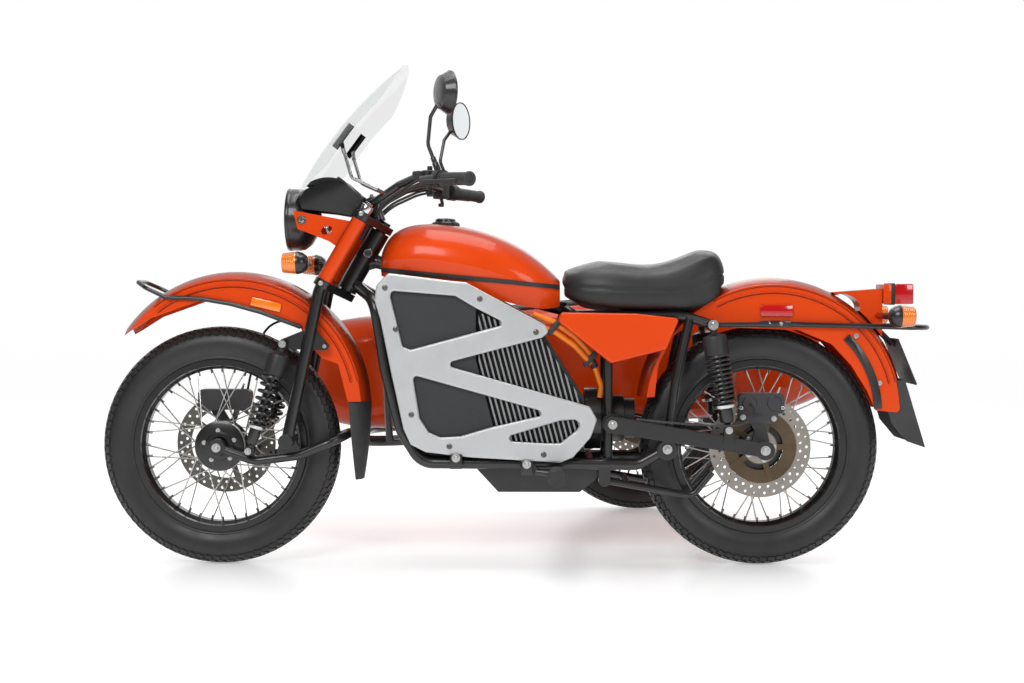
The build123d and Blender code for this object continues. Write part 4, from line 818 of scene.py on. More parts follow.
    def bolt(self, seat: Vector, axis: Vector, width: float, slot: int = 0, socket: bool = False) -> "Shape":
        """Add a bolt head on its washer, standing on a surface.

        Args:
            seat: the point where the washer lies.
            axis: the way the head points.
            width: across the flats, in millimetres.
            slot: the material slot.
            socket: whether it is a round cap head with a hollow, in place of a hexagon.

        Returns:
            This shape.
        """
        axis = axis.normalized()
        radius = width * 0.577
        self.rod(seat - axis * MM, seat + axis * 1.4 * MM, radius * 1.35, 18, slot)
        head = seat + axis * 1.4 * MM
        if socket:
            hollow = radius * 0.5
            wall = [(radius, 0), (radius, width * 0.55), (radius - 1, width * 0.62)]
            inside = [(hollow, width * 0.62), (hollow, width * 0.25), (0, width * 0.25)]
            self.lathe(wall + inside, head, axis, 12, slot)
        else:
            crown = head + axis * width * 0.5 * MM
            self.rod(head, crown, radius, 6, slot, taper=0.93)
            self.rod(crown, head + axis * width * 0.58 * MM, radius * 0.72, 12, slot, 0.8)
        return self

    def arc(self, centre: Vector, radius: float, y: float, wire: float, from_deg: float, to_deg: float,
            slot: int = 0, sides: int = 8, flat: float = 1.0) -> "Shape":
        """Add a bead that follows an arc about a cross axis.

        Args:
            centre: the arc's centre.
            radius: the arc's radius in millimetres.
            y: how far across from the centre it lies.
            wire: the bead's radius.
            from_deg: where it starts, from the rear over the top.
            to_deg: where it ends.
            slot: the material slot.
            sides: the bead's sides.
            flat: the bead's height as a share of its width.

        Returns:
            This shape.
        """
        self._mark(slot)
        start = math.radians(from_deg)
        out = Vector((math.cos(start), 0, math.sin(start)))
        middle = centre + out * radius * MM + ACROSS * y * MM
        ring = []
        for index in range(sides):
            turn = math.tau * index / sides
            ring.append(self.bm.verts.new(
                middle + out * math.cos(turn) * wire * flat * MM + ACROSS * math.sin(turn) * wire * MM
            ))
        edges = [self.bm.edges.new((ring[i], ring[(i + 1) % sides])) for i in range(sides)]
        sweep = math.radians(to_deg - from_deg)
        steps = max(6, int(abs(to_deg - from_deg) / 3))
        self._sweep(ring + edges, centre, -ACROSS, sweep, steps)
        self._fresh(slot)
        return self

    def _sweep(self, ring: list, cent: Vector, axis: Vector, angle: float, steps: int,
               climb: Vector | None = None) -> None:
        """Spin a closed ring and fill both its ends.

        Args:
            ring: the ring's corners and then its edges.
            cent: a point on the axis.
            axis: the axis.
            angle: how far it is spun.
            steps: how many steps that takes.
            climb: how far the ring moves along the axis with each step.
        """
        swept = bmesh.ops.spin(self.bm, geom=ring, cent=cent, axis=axis, dvec=climb or Vector(), angle=angle,
                               steps=steps)
        ends = ring[len(ring) // 2:] + [g for g in swept["geom_last"] if isinstance(g, bmesh.types.BMEdge)]
        bmesh.ops.holes_fill(self.bm, edges=ends, sides=len(ring) // 2)

    def coil(self, foot: Vector, axis: Vector, radius: float, wire: float, turns: float, rise: float,
             slot: int = 0, sides: int = 8) -> "Shape":
        """Add a coil spring by spinning the wire's section while it climbs.

        Args:
            foot: where the spring's axis starts.
            axis: the spring's direction.
            radius: from the axis to the wire's middle, in millimetres.
            wire: the wire's radius.
            turns: how many turns.
            rise: the whole climb.
            slot: the material slot.
            sides: the wire's sides.

        Returns:
            This shape.
        """
        self._mark(slot)
        axis = axis.normalized()
        out = axis.orthogonal().normalized()
        ring = []
        for index in range(sides):
            turn = math.tau * index / sides
            ring.append(self.bm.verts.new(
                foot + out * (radius + wire * math.cos(turn)) * MM + axis * wire * math.sin(turn) * MM
            ))
        edges = [self.bm.edges.new((ring[i], ring[(i + 1) % sides])) for i in range(sides)]
        steps = int(20 * turns)
        climb = axis * (rise / steps) * MM
        self._sweep(ring + edges, foot, axis, math.tau * turns, steps, climb)
        self._fresh(slot)
        return self

    def piece(self, name: str, body: str, *finishes: Finish, sharp: float = SHARP_DEG) -> bpy.types.Object:
        """Close the shape into an object that rides on a body.

        Args:
            name: the piece's name.
            body: the body that it moves with.
            *finishes: one finish for each material slot.
            sharp: edges sharper than this, in degrees, stay crisp.

        Returns:
            The new object.
        """
        bmesh.ops.recalc_face_normals(self.bm, faces=self.bm.faces)
        for face in self.bm.faces:
            face.smooth = True
        for edge in self.bm.edges:
            if len(edge.link_faces) == 2 and edge.calc_face_angle(0.0) > math.radians(sharp):
                edge.smooth = False
        self.bm.faces.layers.int.remove(self.made)
        mesh = bpy.data.meshes.new(name)
        self.bm.to_mesh(mesh)
        self.bm.free()
        for finish in finishes:
            mesh.materials.append(Finishes.material(finish))
        made = bpy.data.objects.new(name, mesh)
        bpy.context.scene.collection.objects.link(made)
        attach(made, body)
        LOG.info("piece %s: %d faces on %s", name, len(mesh.polygons), body)
        return made


def dress(node: str, finish: Finish) -> None:
    """Give a node of the frame its finish.

    Args:
        node: the node's name.
        finish: its finish.
    """
    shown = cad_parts[node]
    shown.data.materials.clear()
    shown.data.materials.append(Finishes.material(finish))


def round_line(name: str, points: list[Vector], radius: float, rings: int, steps: int,
               closed: bool = False) -> bpy.types.Curve:
    """A smooth round line along control points.

    Args:
        name: the curve's name.
        points: the control points.
        radius: in millimetres.
        rings: how finely its section is divided.
        steps: how finely its length is divided.
        closed: whether it runs back to its start.

    Returns:
        The curve.
    """
    curve = bpy.data.curves.new(name, "CURVE")
    curve.dimensions = "3D"
    curve.bevel_depth = radius * MM
    curve.bevel_resolution = rings
    curve.resolution_u = steps
    curve.use_fill_caps = not closed
    spline = curve.splines.new("NURBS")
    spline.points.add(len(points) - 1)
    for point, place in zip(spline.points, points):
        point.co = (*place, 1)
    spline.use_cyclic_u = closed
    spline.order_u = 3
    spline.use_endpoint_u = not closed
    return curve


def flexible(name: str, points: list[Vector], radius: float, finish: Finish, body: str) -> bpy.types.Object:
    """A smooth round line through control points, as a curve.

    Args:
        name: the piece's name.
        points: the control points.
        radius: in millimetres.
        finish: its finish.
        body: the body that it moves with.

    Returns:
        The curve object.
    """
    curve = round_line(name, points, radius, rings=3, steps=10)
    curve.materials.append(Finishes.material(finish))
    made = bpy.data.objects.new(name, curve)
    bpy.context.scene.collection.objects.link(made)
    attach(made, body)
    LOG.info("line %s: %d control points on %s", name, len(points), body)
    return made


# ---------------------------------------------------------------- wheels


@dataclass
class Wheel:
    """One wire wheel: its tyre with a road tread, and the small parts of its hub and rim."""

    name: str
    axle: Vector
    body: str
    disc: Finish
    disc_side: int = LEFT
    cover_side: int = 0
    tread_pitches: int = 84
    block_depth: float = 8.0
    block_slant: float = 14.0
    spokes: int = 40
    rim_radius: float = 214.0
    nipple: float = 12.0
    nipple_spread: float = 6.0
    hub_bolts: int = 5
    cover_face: float = 50.0
    cover_circle: float = 44.0
    disc_face: float = 55.0
    disc_circle: float = 38.0

    def tyre(self) -> None:
        """The tyre: a spun carcass with ribbed walls, and rows of blocks round the crown."""
        half = [
            (229.6, 36.4), (240, 36.8), (243, 40.0), (246, 42.2), (248.5, 42.4), (250, 41.4), (252, 42.2),
            (258, 45.2), (266, 48.0), (275, 49.6), (284, 50.0), (293, 49.4), (302, 47.2),
            (310, 43.6), (316.5, 38.0), (321.5, 30.5), (325, 20.0), (326.4, 9.0),
        ]
        profile = half + [(326.6, 0)] + [(r, -y) for r, y in reversed(half)] + [half[0]]
        shape = Shape().lathe(profile, self.axle, ACROSS, 120)
        rows = (
            # radius of the block's face, distance across, its lean, width, share of the pitch, offset
            (331.9, 0.0, 0.0, 15.0, 0.86, 0.0),
            (330.3, 17.5, 11.0, 13.0, 0.8, 0.5),
            (325.6, 32.0, 27.0, 12.0, 0.78, 0.0),
            (315.6, 43.2, 50.0, 14.0, 0.84, 0.5),
        )
        pitch = math.tau / self.tread_pitches
        for radius, across, lean, width, share, offset in rows:
            for side in SIDES if across else (RIGHT,):
                for index in range(self.tread_pitches):
                    turn = pitch * (index + offset)
                    out = Vector((math.cos(turn), 0, math.sin(turn)))
                    tilt = Matrix.Rotation(math.radians(side * lean), 4, "Z")
                    basis = Matrix.Rotation(-turn, 4, "Y") @ tilt
                    slant = Matrix.Rotation(math.radians(side * self.block_slant), 4, "X")
                    face = self.axle + out * radius * MM + ACROSS * side * across * MM
                    normal = (basis @ Vector((1, 0, 0))).normalized()
                    length = math.tau * radius / self.tread_pitches * share
                    middle = face - normal * self.block_depth / 2 * MM
                    shape.block(middle, (self.block_depth, width, length), 0, turn=basis @ slant)
        made = shape.piece(f"{self.name}_tyre_tread", self.body, Finishes.tyre, sharp=40)
        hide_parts(f"{self.name}_tyre")

    def small_parts(self) -> None:
        """Spoke nipples, and the hub's cover with its bolts where the wheel has one."""
        shape = Shape()
        for index, out in enumerate(round_axle(self.spokes)):
            spread = self.nipple_spread if index % 2 else -self.nipple_spread
            seat = self.axle + out * (self.rim_radius + 1) * MM + ACROSS * spread * MM
            shape.rod(seat, seat - out * self.nipple * MM, 3.1, 8, taper=0.8)
        made = shape.piece(f"{self.name}_spoke_nipples", self.body, Finishes.dark_disc)
        if self.cover_side:
            away = ACROSS * self.cover_side
            face = self.axle + away * self.cover_face * MM
            bolts = Shape()
            cover = [(69, -1), (69, 0.5), (64, 2.5), (40, 4.5), (38, 7), (26, 8.5), (24, 1)]
            bolts.lathe(cover, face, away, 64, slot=1)
            for out in round_axle(self.hub_bolts, 0.4):
                bolts.bolt(face + out * self.cover_circle * MM + away * 3.6 * MM, away, 8)
            made = bolts.piece(f"{self.name}_hub_bolts", self.body, Finishes.zinc, Finishes.satin_black)

    def disc_bolts(self) -> None:
        """The ring of bolts that holds the disc to the hub, and the rings of its carrier."""
        shape = Shape()
        away = ACROSS * self.disc_side
        face = self.axle + away * self.disc_face * MM
        for out in round_axle(self.hub_bolts):
            shape.bolt(face + out * self.disc_circle * MM, away, 9, socket=True)
        if self.disc_side == LEFT:
            for inner, outer in ((64, 99.5), (40, 49)):
                ring = [(inner, -4.2), (inner, -0.8), (outer, -0.8), (outer, -4.2)]
                shape.lathe(ring, face, away, 72, slot=1)
        made = shape.piece(f"{self.name}_disc_bolts", self.body, Finishes.zinc, Finishes.carrier)

    def build(self) -> None:
        """Build and dress the wheel."""
        dress(f"{self.name}_wheel", RingFinish(
            f"{self.name}_wheel_finish", (0.006, 0.006, 0.0065), roughness=0.3, coat=0.25,
            axle=(self.axle.x, self.axle.z),
        ))
        dress(f"{self.name}_disc", self.disc)
        self.tyre()
        self.small_parts()
        self.disc_bolts()


# ---------------------------------------------------------------- springs


@dataclass
class SpringUnit:
    """A coil spring round its damper, between two eyes."""

    name: str
    body: str
    node: str
    foot: Vector
    top: Vector
    coil_radius: float
    wire: float = 5.0
    turns: float = 7.0
    cover_share: float = 0.27
    lower_share: float = 0.24

    def build(self, ys: tuple[float, ...]) -> None:
        """Build the unit at each distance across, as one piece.

        Args:
            ys: how far across the machine each unit stands.
        """
        shape = Shape()
        for y in ys:
            shift = ACROSS * y * MM
            self._unit(shape, self.foot + shift, self.top + shift)
        made = shape.piece(self.name, self.body, Finishes.satin_black, Finishes.zinc, Finishes.plastic)
        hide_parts(self.node)

    def _unit(self, shape: Shape, foot: Vector, top: Vector) -> None:
        """Add one unit: the damper's lower tube, a collar, the spring, its cover and both eyes.

        Args:
            shape: the shape that it joins.
            foot: the lower eye.
            top: the upper eye.
        """
        span = (top - foot).length / MM
        axis = (top - foot).normalized()
        cover_from = span * (1 - self.cover_share)
        r = self.coil_radius
        lower = span * self.lower_share
        tube = [(9.5, 8), (9.5, 18), (r * 0.56, 22), (r * 0.62, 26), (r * 0.62, lower - 10)]
        shape.lathe(tube + [(r * 0.5, lower - 8), (11, lower), (11, span - 40)], foot, axis, 32)
        collar = [(r * 0.5, lower - 9), (r - 2, lower - 8), (r, lower - 5)]
        collar += [(r, lower + 1), (r - 3, lower + 3), (r * 0.5, lower + 3)]
        shape.lathe(collar, foot, axis, 40, slot=1)
        rise = cover_from - lower - 6
        shape.coil(foot + axis * (lower + 3) * MM, axis, r - self.wire / 2, self.wire, self.turns, rise)
        cover = [(r - 9, cover_from - 6), (r - 1, cover_from - 6), (r + 2, cover_from - 3)]
        cover += [(r + 2, span - 38), (r - 1, span - 30), (12, span - 25), (9.5, span - 22), (9.5, span - 8)]
        shape.lathe(cover, foot, axis, 40, slot=2)
        for eye in (foot, top):
            shape.lathe([(6.2, -11), (11, -11), (12, -10), (12, 10), (11, 11), (6.2, 11)], eye, ACROSS, 28)


# ---------------------------------------------------------------- soft parts


@dataclass
class Cushion:
    """A padded piece blown up from a node of the frame, with its seams pressed in afterwards."""

    name: str
    node: str
    body: str
    voxel: float = 6.0
    shrink: float = 4.0
    cap: float = 8.0
    pressure: float = 4.0
    fill: float = 0.8
    smoothing: int = 6
    frames: int = 20

    def inflate(self) -> bpy.types.Object:
        """Copy the node, remesh it and blow it up as cloth.

        Returns:
            The padded object, before its seams.
        """
        source = bmesh.new()
        source.from_mesh(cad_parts[self.node].data)
        bmesh.ops.remove_doubles(source, verts=source.verts, dist=1e-5)
        mesh = bpy.data.meshes.new(self.name)
        source.to_mesh(mesh)
        source.free()
        piece = bpy.data.objects.new(self.name, mesh)
        bpy.context.scene.collection.objects.link(piece)
        remesh = piece.modifiers.new("even", "REMESH")
        remesh.mode = "VOXEL"
        remesh.voxel_size = self.voxel * MM
        self._apply(piece)
        self._relax(piece)
        start = [v.co.copy() for v in piece.data.vertices]
        normals = [v.normal.copy() for v in piece.data.vertices]
        for vertex, normal in zip(piece.data.vertices, normals):
            vertex.co = vertex.co - normal * self.shrink * MM
        self._blow(piece, start)
        return piece

    def _relax(self, piece: bpy.types.Object) -> None:
        """Take the voxel steps out of the surface.

        Args:
            piece: the pad.
        """
        work = bmesh.new()
        work.from_mesh(piece.data)
        for _ in range(self.smoothing):
            bmesh.ops.smooth_vert(work, verts=work.verts, factor=0.5, use_axis_x=True, use_axis_y=True,
                                  use_axis_z=True)
        work.to_mesh(piece.data)
        work.free()

    def _apply(self, piece: bpy.types.Object) -> None:
        """Put the modifiers' result into the mesh.

        Args:
            piece: the pad.
        """
        bpy.context.view_layer.update()
        shown = piece.evaluated_get(bpy.context.evaluated_depsgraph_get())
        mesh = bpy.data.meshes.new_from_object(shown)
        piece.modifiers.clear()
        piece.data = mesh

    def _blow(self, piece: bpy.types.Object, start: list[Vector]) -> None:
        """Run the cloth for its frames, then hold each point near where it began.

        Args:
            piece: the pad, a little smaller than its node.
            start: where each point lay on the node.
        """
        cloth = piece.modifiers.new("pad", "CLOTH")
        cloth.settings.use_pressure = True
        cloth.settings.uniform_pressure_force = self.pressure
        cloth.settings.effector_weights.gravity = 0
        cloth.settings.quality = 5
        scene = bpy.context.scene
        for number in range(1, self.frames + 1):
            scene.frame_set(number)
        self._apply(piece)
        scene.frame_set(1)
        limit = self.cap * MM
        for vertex, home in zip(piece.data.vertices, start):
            move = vertex.co - home
            if move.length > limit:
                vertex.co = home + move.normalized() * limit

    def press(self, piece: bpy.types.Object, depth: Callable[[Vector, Vector], float]) -> None:
        """Push points in along their normals.

        Args:
            piece: the pad.
            depth: how deep it goes at a place with a normal, in millimetres.
        """
        normals = [v.normal.copy() for v in piece.data.vertices]
        for vertex, normal in zip(piece.data.vertices, normals):
            vertex.co = vertex.co - normal * depth(vertex.co, normal) * MM

    def finish(self, piece: bpy.types.Object, finish: Finish, slot: str) -> None:
        """Args:
            piece: the pad.
            finish: its finish.
            slot: the name of its material slot; not used.
        """
        for polygon in piece.data.polygons:
            polygon.use_smooth = True
        piece.data.materials.clear()
        piece.data.materials.append(Finishes.material(finish))
        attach(piece, self.body)
        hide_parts(self.node)
        LOG.info("padded %s: %d points", self.name, len(piece.data.vertices))


def groove(distance: float, width: float, depth: float) -> float:
    """How deep a sewn channel is at a distance from its line, all in millimetres."""
    return depth * math.exp(-((distance / width) ** 2))


@dataclass
class Saddle:
    """The rider's saddle, with a sewn line along each side."""

    line: tuple[tuple[float, float], ...] = ((953, 776), (1100, 768), (1260, 766), (1330, 786), (1404, 812))
    seam_width: float = 3.2
    seam_depth: float = 4.2
    end_share: float = 0.7
    least_side: float = 0.35

    def seam_height(self, x: float) -> float:
        """The height of the side seam.

        Args:
            x: distance behind the front axle, in millimetres.

        Returns:
            The height over the ground, in millimetres.
        """
        for (x0, z0), (x1, z1) in zip(self.line, self.line[1:]):
            if x <= x1:
                return z0 + (z1 - z0) * max(0.0, (x - x0) / (x1 - x0))
        return self.line[-1][1]

    def build(self) -> None:
        """Blow up the saddle and press its seam in."""
        pad = Cushion("saddle", "seat", "chassis", voxel=6.0, shrink=5.0, cap=7.0)
        piece = pad.inflate()

        def depth(place: Vector, normal: Vector) -> float:
            """How deep the seam is at a place: none on top, all of it on the sides.

            Args:
                place: the point.
                normal: the way that the surface faces.

            Returns:
                The depth in millimetres.
            """
            station = place.x / MM - PLACE.origin_x
            height = place.z / MM
            side = abs(normal.y) + abs(normal.x) * self.end_share
            if side < self.least_side:
                return 0.0
            off = height - self.seam_height(station)
            return groove(off, self.seam_width, self.seam_depth) * min(1.0, side)

        pad.press(piece, depth)
        pad.finish(piece, Finishes.vinyl, "vinyl")


@dataclass
class PassengerSeat:
    """The passenger's bench in the tub, with pleats down the cushion and the back."""

    pleat: float = 62.0
    pleated_half: float = 200.0
    seam_width: float = 6.0
    seam_depth: float = 6.0

    def build(self) -> None:
        """Blow up the bench and press its pleats in."""
        pad = Cushion("passenger_bench", "sidecar_seat", "chassis", voxel=9.0, shrink=6.0, cap=8.0)
        piece = pad.inflate()

        def depth(place: Vector, normal: Vector) -> float:
            """How deep the pleats are at a place, on the faces that carry the passenger.

            Args:
                place: the point.
                normal: the way that the surface faces.

            Returns:
                The depth in millimetres.
            """
            across = place.y / MM - PLACE.origin_y - PLACE.tub_middle
            if max(normal.z, -normal.x) < 0.3 or abs(across) > self.pleated_half:
                return 0.0
            off = (across + self.pleat / 2) % self.pleat - self.pleat / 2
            return groove(off, self.seam_width, self.seam_depth)

        pad.press(piece, depth)
        pad.finish(piece, Finishes.vinyl, "vinyl")


# ---------------------------------------------------------------- front end


@dataclass
class FrontEnd:
    """The fork, lamps, screen and bars, which turn with the steering."""

    body: str = "steering"
    lamp_radius: float = 87.0
    lamp_face: float = 188.0
    lamp_height: float = 962.0
    grip_start: tuple[float, float, float] = (620.0, 285.0, 1057.0)
    grip_end: tuple[float, float, float] = (712.0, 410.0, 1049.0)
    grip_rings: int = 17
    rake: float = 30.4
    head: tuple[float, float] = (359.0, 783.0)
    mirror_middle: tuple[float, float, float] = (646.0, 356.0, 1274.0)
    mirror_turn: float = 22.0
    mirror_squash: float = 0.875

    def headlight(self) -> None:
        """A turned shell with a rim, a bright bowl and a glass."""
        foot = at(self.lamp_face, 0, self.lamp_height)
        r = self.lamp_radius
        shape = Shape()
        shell = [(r - 8, 6), (r - 1, 7), (r - 1, 30), (r - 3, 46), (r - 18, 66), (r - 44, 82)]
        shell += [(16, 92), (0, 92)]
        rim = [(r - 9, 3), (r - 6, -1), (r - 2, 0), (r, 3), (r, 9), (r - 1, 11), (r - 3, 11)]
        bowl = [(r - 9, 4), (r - 22, 22), (30, 44), (14, 48), (0, 48)]
        bulb = [(0, 26), (9, 27), (11, 34), (11, 46)]
        glass = [(r - 8.5, 4), (r - 16, -3), (46, -7), (0, -8.5)]
        glass += [(0, -5), (46, -3.5), (r - 17, 1), (r - 9, 6)]
        turned_parts = ((shell, 72, 0), (rim, 72, 0), (bowl, 64, 1), (bulb, 24, 1), (glass, 72, 2))
        for profile, steps, slot in turned_parts:
            shape.lathe(profile, foot, ALONG, steps, slot)
        for side in SIDES:
            shape.rod(at(238, side * 60, 958), at(238, side * 92.5, 958), 9, 20, soften=1)
            shape.bolt(at(238, side * 97, 958), ACROSS * side, 16, slot=1)
        made = shape.piece("headlamp", self.body, Finishes.satin_black, Finishes.bright, Finishes.lamp_glass)
        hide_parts("headlight")

    def indicators(self) -> None:
        """Round turn signals: a black cup on its stem, and an amber lens with turned ridges."""
        for name, x, y, z, way, body in (
            ("front_turn_signals", 198.0, 190.0, 839.0, -1, "steering"),
            ("rear_turn_signals", 1898.0, 170.0, 695.0, 1, "chassis"),
        ):
            shape = Shape()
            for side in SIDES:
                face = at(x, side * y, z)
                axis = ALONG * way
                cup = [(0, -71), (12, -70), (20, -66), (27, -56), (30, -46), (30.5, -42)]
                cup += [(30.5, -39), (29, -39)]
                shape.lathe(cup, face, axis, 40)
                lens = [(29.4, -41), (29.4, -36)]
                for step in range(6):
                    start = -36 + step * 5.2
                    lens += [(29.6 - step * 0.5, start + 1.2), (28.6 - step * 0.5, start + 2.6),
                             (29.4 - step * 0.5, start + 4.2)]
                lens += [(25, -2), (21, -0.2), (0, -0.2)]
                shape.lathe(lens, face, axis, 40, slot=1)
                if way > 0:
                    shape.rod(at(1830.5, side * 54, z), at(1840, side * (y - 24), z), 9.5, 20, soften=1)
                else:
                    shape.rod(at(250, side * 190, z), at(262, side * 128, 836), 8, 16, soften=1)
                    shape.rod(at(252, side * 176, z), at(258, side * 150, 838), 11.5, 16, soften=2)
            node = "front_indicators" if way < 0 else "rear_indicators"
            made = shape.piece(name, body, Finishes.satin_black, Finishes.amber)
            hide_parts(node)

    def grips(self) -> None:
        """Ribbed rubber grips with a flange at the inner end."""
        shape = Shape()
        for side in SIDES:
            start, end = [at(x, side * y, z) for x, y, z in (self.grip_start, self.grip_end)]
            run = end - start
            foot = start + run * 0.2
            length = run.length * 0.8 / MM
            profile = [(11.4, 0), (21, 0), (22, 1.5), (22, 3), (17, 4.5)]
            for ring in range(self.grip_rings):
                base = 8 + (length - 22) * ring / self.grip_rings
                profile += [(16.0, base), (17.0, base + 1.4), (17.0, base + 4.2), (16.0, base + 5.2)]
            profile += [(17, length - 10), (19, length - 8), (19, length - 2), (17.5, length), (0, length)]
            shape.lathe(profile, foot, run, 32)
        made = shape.piece("ribbed_grips", self.body, Finishes.rubber)
        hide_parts("grips")

    def hardware(self) -> None:
        """The bolts of the fork and the bars."""
        shape = Shape()
        for side in SIDES:
            out = ACROSS * side
            shape.bolt(at(0, side * 103, 332), out, 16)
            shape.bolt(at(197, side * 119, 353), out, 13)
            shape.bolt(at(94, side * 138, 326), out, 12)
            shape.bolt(at(189, side * 138, 619), out, 13)
            shape.bolt(at(300, side * 100, 612), out, 11)
            shape.bolt(at(425, side * 45, 1024), UP, 9, socket=True)
        for side in SIDES:
            for height in (188, -32):
                shape.bolt(self.on_fork(height, 58, side * 124), ACROSS * side, 9, socket=True)
        made = shape.piece("fork_bolts", self.body, Finishes.zinc)

    def on_fork(self, height: float, ahead: float, y: float) -> Vector:
        """A point on the fork.

        Args:
            height: how far up the steering axis, in millimetres from the middle of the head.
            ahead: how far ahead of that axis.
            y: how far to the right.

        Returns:
            The point in the shared frame.
        """
        rake = math.radians(self.rake)
        x = self.head[0] + height * math.sin(rake) - ahead * math.cos(rake)
        return at(x, y, self.head[1] + height * math.cos(rake) + ahead * math.sin(rake))

    def caps(self) -> None:
        """The bright caps on the fork's legs, and the bright parts behind the headlamp's ears."""
        shape = Shape()
        for side in SIDES:
            foot, head = self.on_fork(194, 55, side * 100), self.on_fork(216, 55, side * 100)
            shape.rod(foot, head, 18, 28, soften=2)
            shape.rod(head, head + (head - foot) * 0.35, 11, 6, soften=1)
            shape.rod(at(303, side * 89, 944), at(318, side * 89, 902), 4.5, 14, soften=1)
            shape.rod(at(303, side * 84, 944), at(303, side * 92, 944), 8, 16, soften=1)
        made = shape.piece("fork_caps", self.body, Finishes.bright)

    def cheeks(self) -> None:
        """The sides of the cowl, down to the headlamp's ears."""
        shape = Shape()
        for side in SIDES:
            shape.plate([(229, 1012), (246, 1042), (286, 1060), (330, 1064), (362, 1052), (404, 1022),
                         (394, 992), (372, 970), (313, 980), (236, 988)], side * 85, 5, 2.0)
        made = shape.piece("cowl_cheeks", self.body, Finishes.plastic)

    def pods(self) -> None:
        """Switch pods, levers' clamps and a round knob inboard of the grips."""
        shape = Shape()
        for side in SIDES:
            tilt = Matrix.Rotation(math.radians(side * 53.6), 4, "Z")
            pod = at(600, side * 262, 1058)
            shape.block(pod, (34, 42, 46), 6, turn=tilt, segments=3)
            shape.block(pod + (UP * 8 - ALONG * 26) * MM, (30, 34, 26), 5, turn=tilt, segments=3)
            shape.rod(pod + UP * 20 * MM, pod + UP * 34 * MM, 7, 16, soften=1.5)
            shape.rod(pod - UP * 20 * MM, pod - (UP * 38 - ALONG * 4) * MM, 5, 14)
            shape.rod(pod - UP * 36 * MM, pod - UP * 46 * MM, 8.5, 16, soften=2)
        made = shape.piece("switch_pods", self.body, Finishes.plastic)

    def mirror_glass(self) -> None:
        """The glass in both mirrors, a collar on each stem and a dome on each head."""
        bright, black = Shape(), Shape()
        turn = math.radians(self.mirror_turn)
        x, y, z = self.mirror_middle
        for side in SIDES:
            facing = Vector((math.cos(turn), -side * math.sin(turn), 0))
            centre = at(x, side * y, z)
            self._oval(bright, [(60.6, 8.4), (60.2, 10.6), (57, 11.4), (0, 11.6)], centre, facing, 56)
            rim = [(62, 7.5), (64.6, 8), (64.6, 11.6), (62.4, 12.4), (61, 11.4)]
            self._oval(black, rim, centre, facing, 56)
            self._oval(black, [(49, -15.6), (40, -19.5), (24, -22.8), (0, -24)], centre, facing, 48)
            for low, high, radius in ((4, 26, 8.5), (26, 42, 7.0)):
                base = at(624.6, side * 291, 1075)
                lean = Vector((-0.365, -side * 0.13, 0.92)).normalized()
                black.rod(base + lean * low * MM, base + lean * high * MM, radius, 16, soften=1)
        made = bright.piece("mirror_glass", self.body, Finishes.glass)
        made = black.piece("mirror_rims", self.body, Finishes.satin_black)

    def _oval(self, shape: Shape, profile: list[tuple[float, float]], centre: Vector, facing: Vector,
              steps: int) -> None:
        """Spin a profile about a mirror's middle and flatten it, a little lower than it is wide.

        Args:
            shape: the shape that it joins.
            profile: radius and distance along the axis of each corner, in millimetres.
            centre: the mirror's middle.
            facing: the way that the glass faces.
            steps: how many steps the turn has.
        """
        known = set(shape.bm.verts)
        shape.lathe(profile, centre, facing, steps, start=UP)
        fresh = [v for v in shape.bm.verts if v not in known]
        squash = (1, 1, self.mirror_squash)
        bmesh.ops.scale(shape.bm, verts=fresh, vec=squash, space=Matrix.Translation(-centre))

    def hoses(self) -> None:
        """The front brake's hose, from the yoke down to the caliper."""
        route = [at(300, 62, 700), at(262, 64, 690), at(220, 65, 684), at(180, 66, 682), at(140, 66, 676),
                 at(108, 66, 652), at(88, 65, 606), at(72, 62, 548), at(60, 56, 483)]
        made = flexible("front_brake_hose", route, 3.4, Finishes.rubber, self.body)
        span = sum((b - a).length for a, b in zip(route, route[1:]))
        tuple(route[0])
        for name, shift in (("bar_cable_upper", 0.0), ("bar_cable_lower", 9.0)):
            for side, tag in ((LEFT, "left"), (RIGHT, "right")):
                line = [at(585, side * 240, 1062 - shift), at(548, side * 172, 1055 - shift),
                        at(512, side * 120, 1034 - shift), at(470, side * 86, 1012 - shift),
                        at(436, side * 66, 978 - shift), at(412, side * 46, 944), at(392, side * 34, 905)]
                cable = flexible(f"{tag}_{name}", line, 3.6, Finishes.rubber, self.body)

    def instruments(self) -> None:
        """A round dial in the cowl, with plain marks."""
        shape = Shape()
        tilt = (UP * 0.78 + ALONG * 0.62).normalized()
        seat = at(352, 0, 1048)
        shape.lathe([(36, -8), (42, -6), (42, 10), (40, 13), (36, 13), (35, 9)], seat, tilt, 48)
        shape.lathe([(35.5, 8), (0, 8)], seat, tilt, 48, slot=1)
        out = tilt.orthogonal().normalized()
        for index in range(13):
            turn = Matrix.Rotation(math.radians(-130 + index * 260 / 12), 3, tilt) @ out
            middle = seat + tilt * 8.4 * MM + turn * 28 * MM
            frame_turn = Matrix((turn, tilt.cross(turn), tilt)).transposed().to_4x4()
            shape.block(middle, (6, 1.3, 0.6), 0, slot=2, turn=frame_turn)
        made = shape.piece("dial", self.body, Finishes.plastic, Finishes.panel_black, Finishes.alloy)

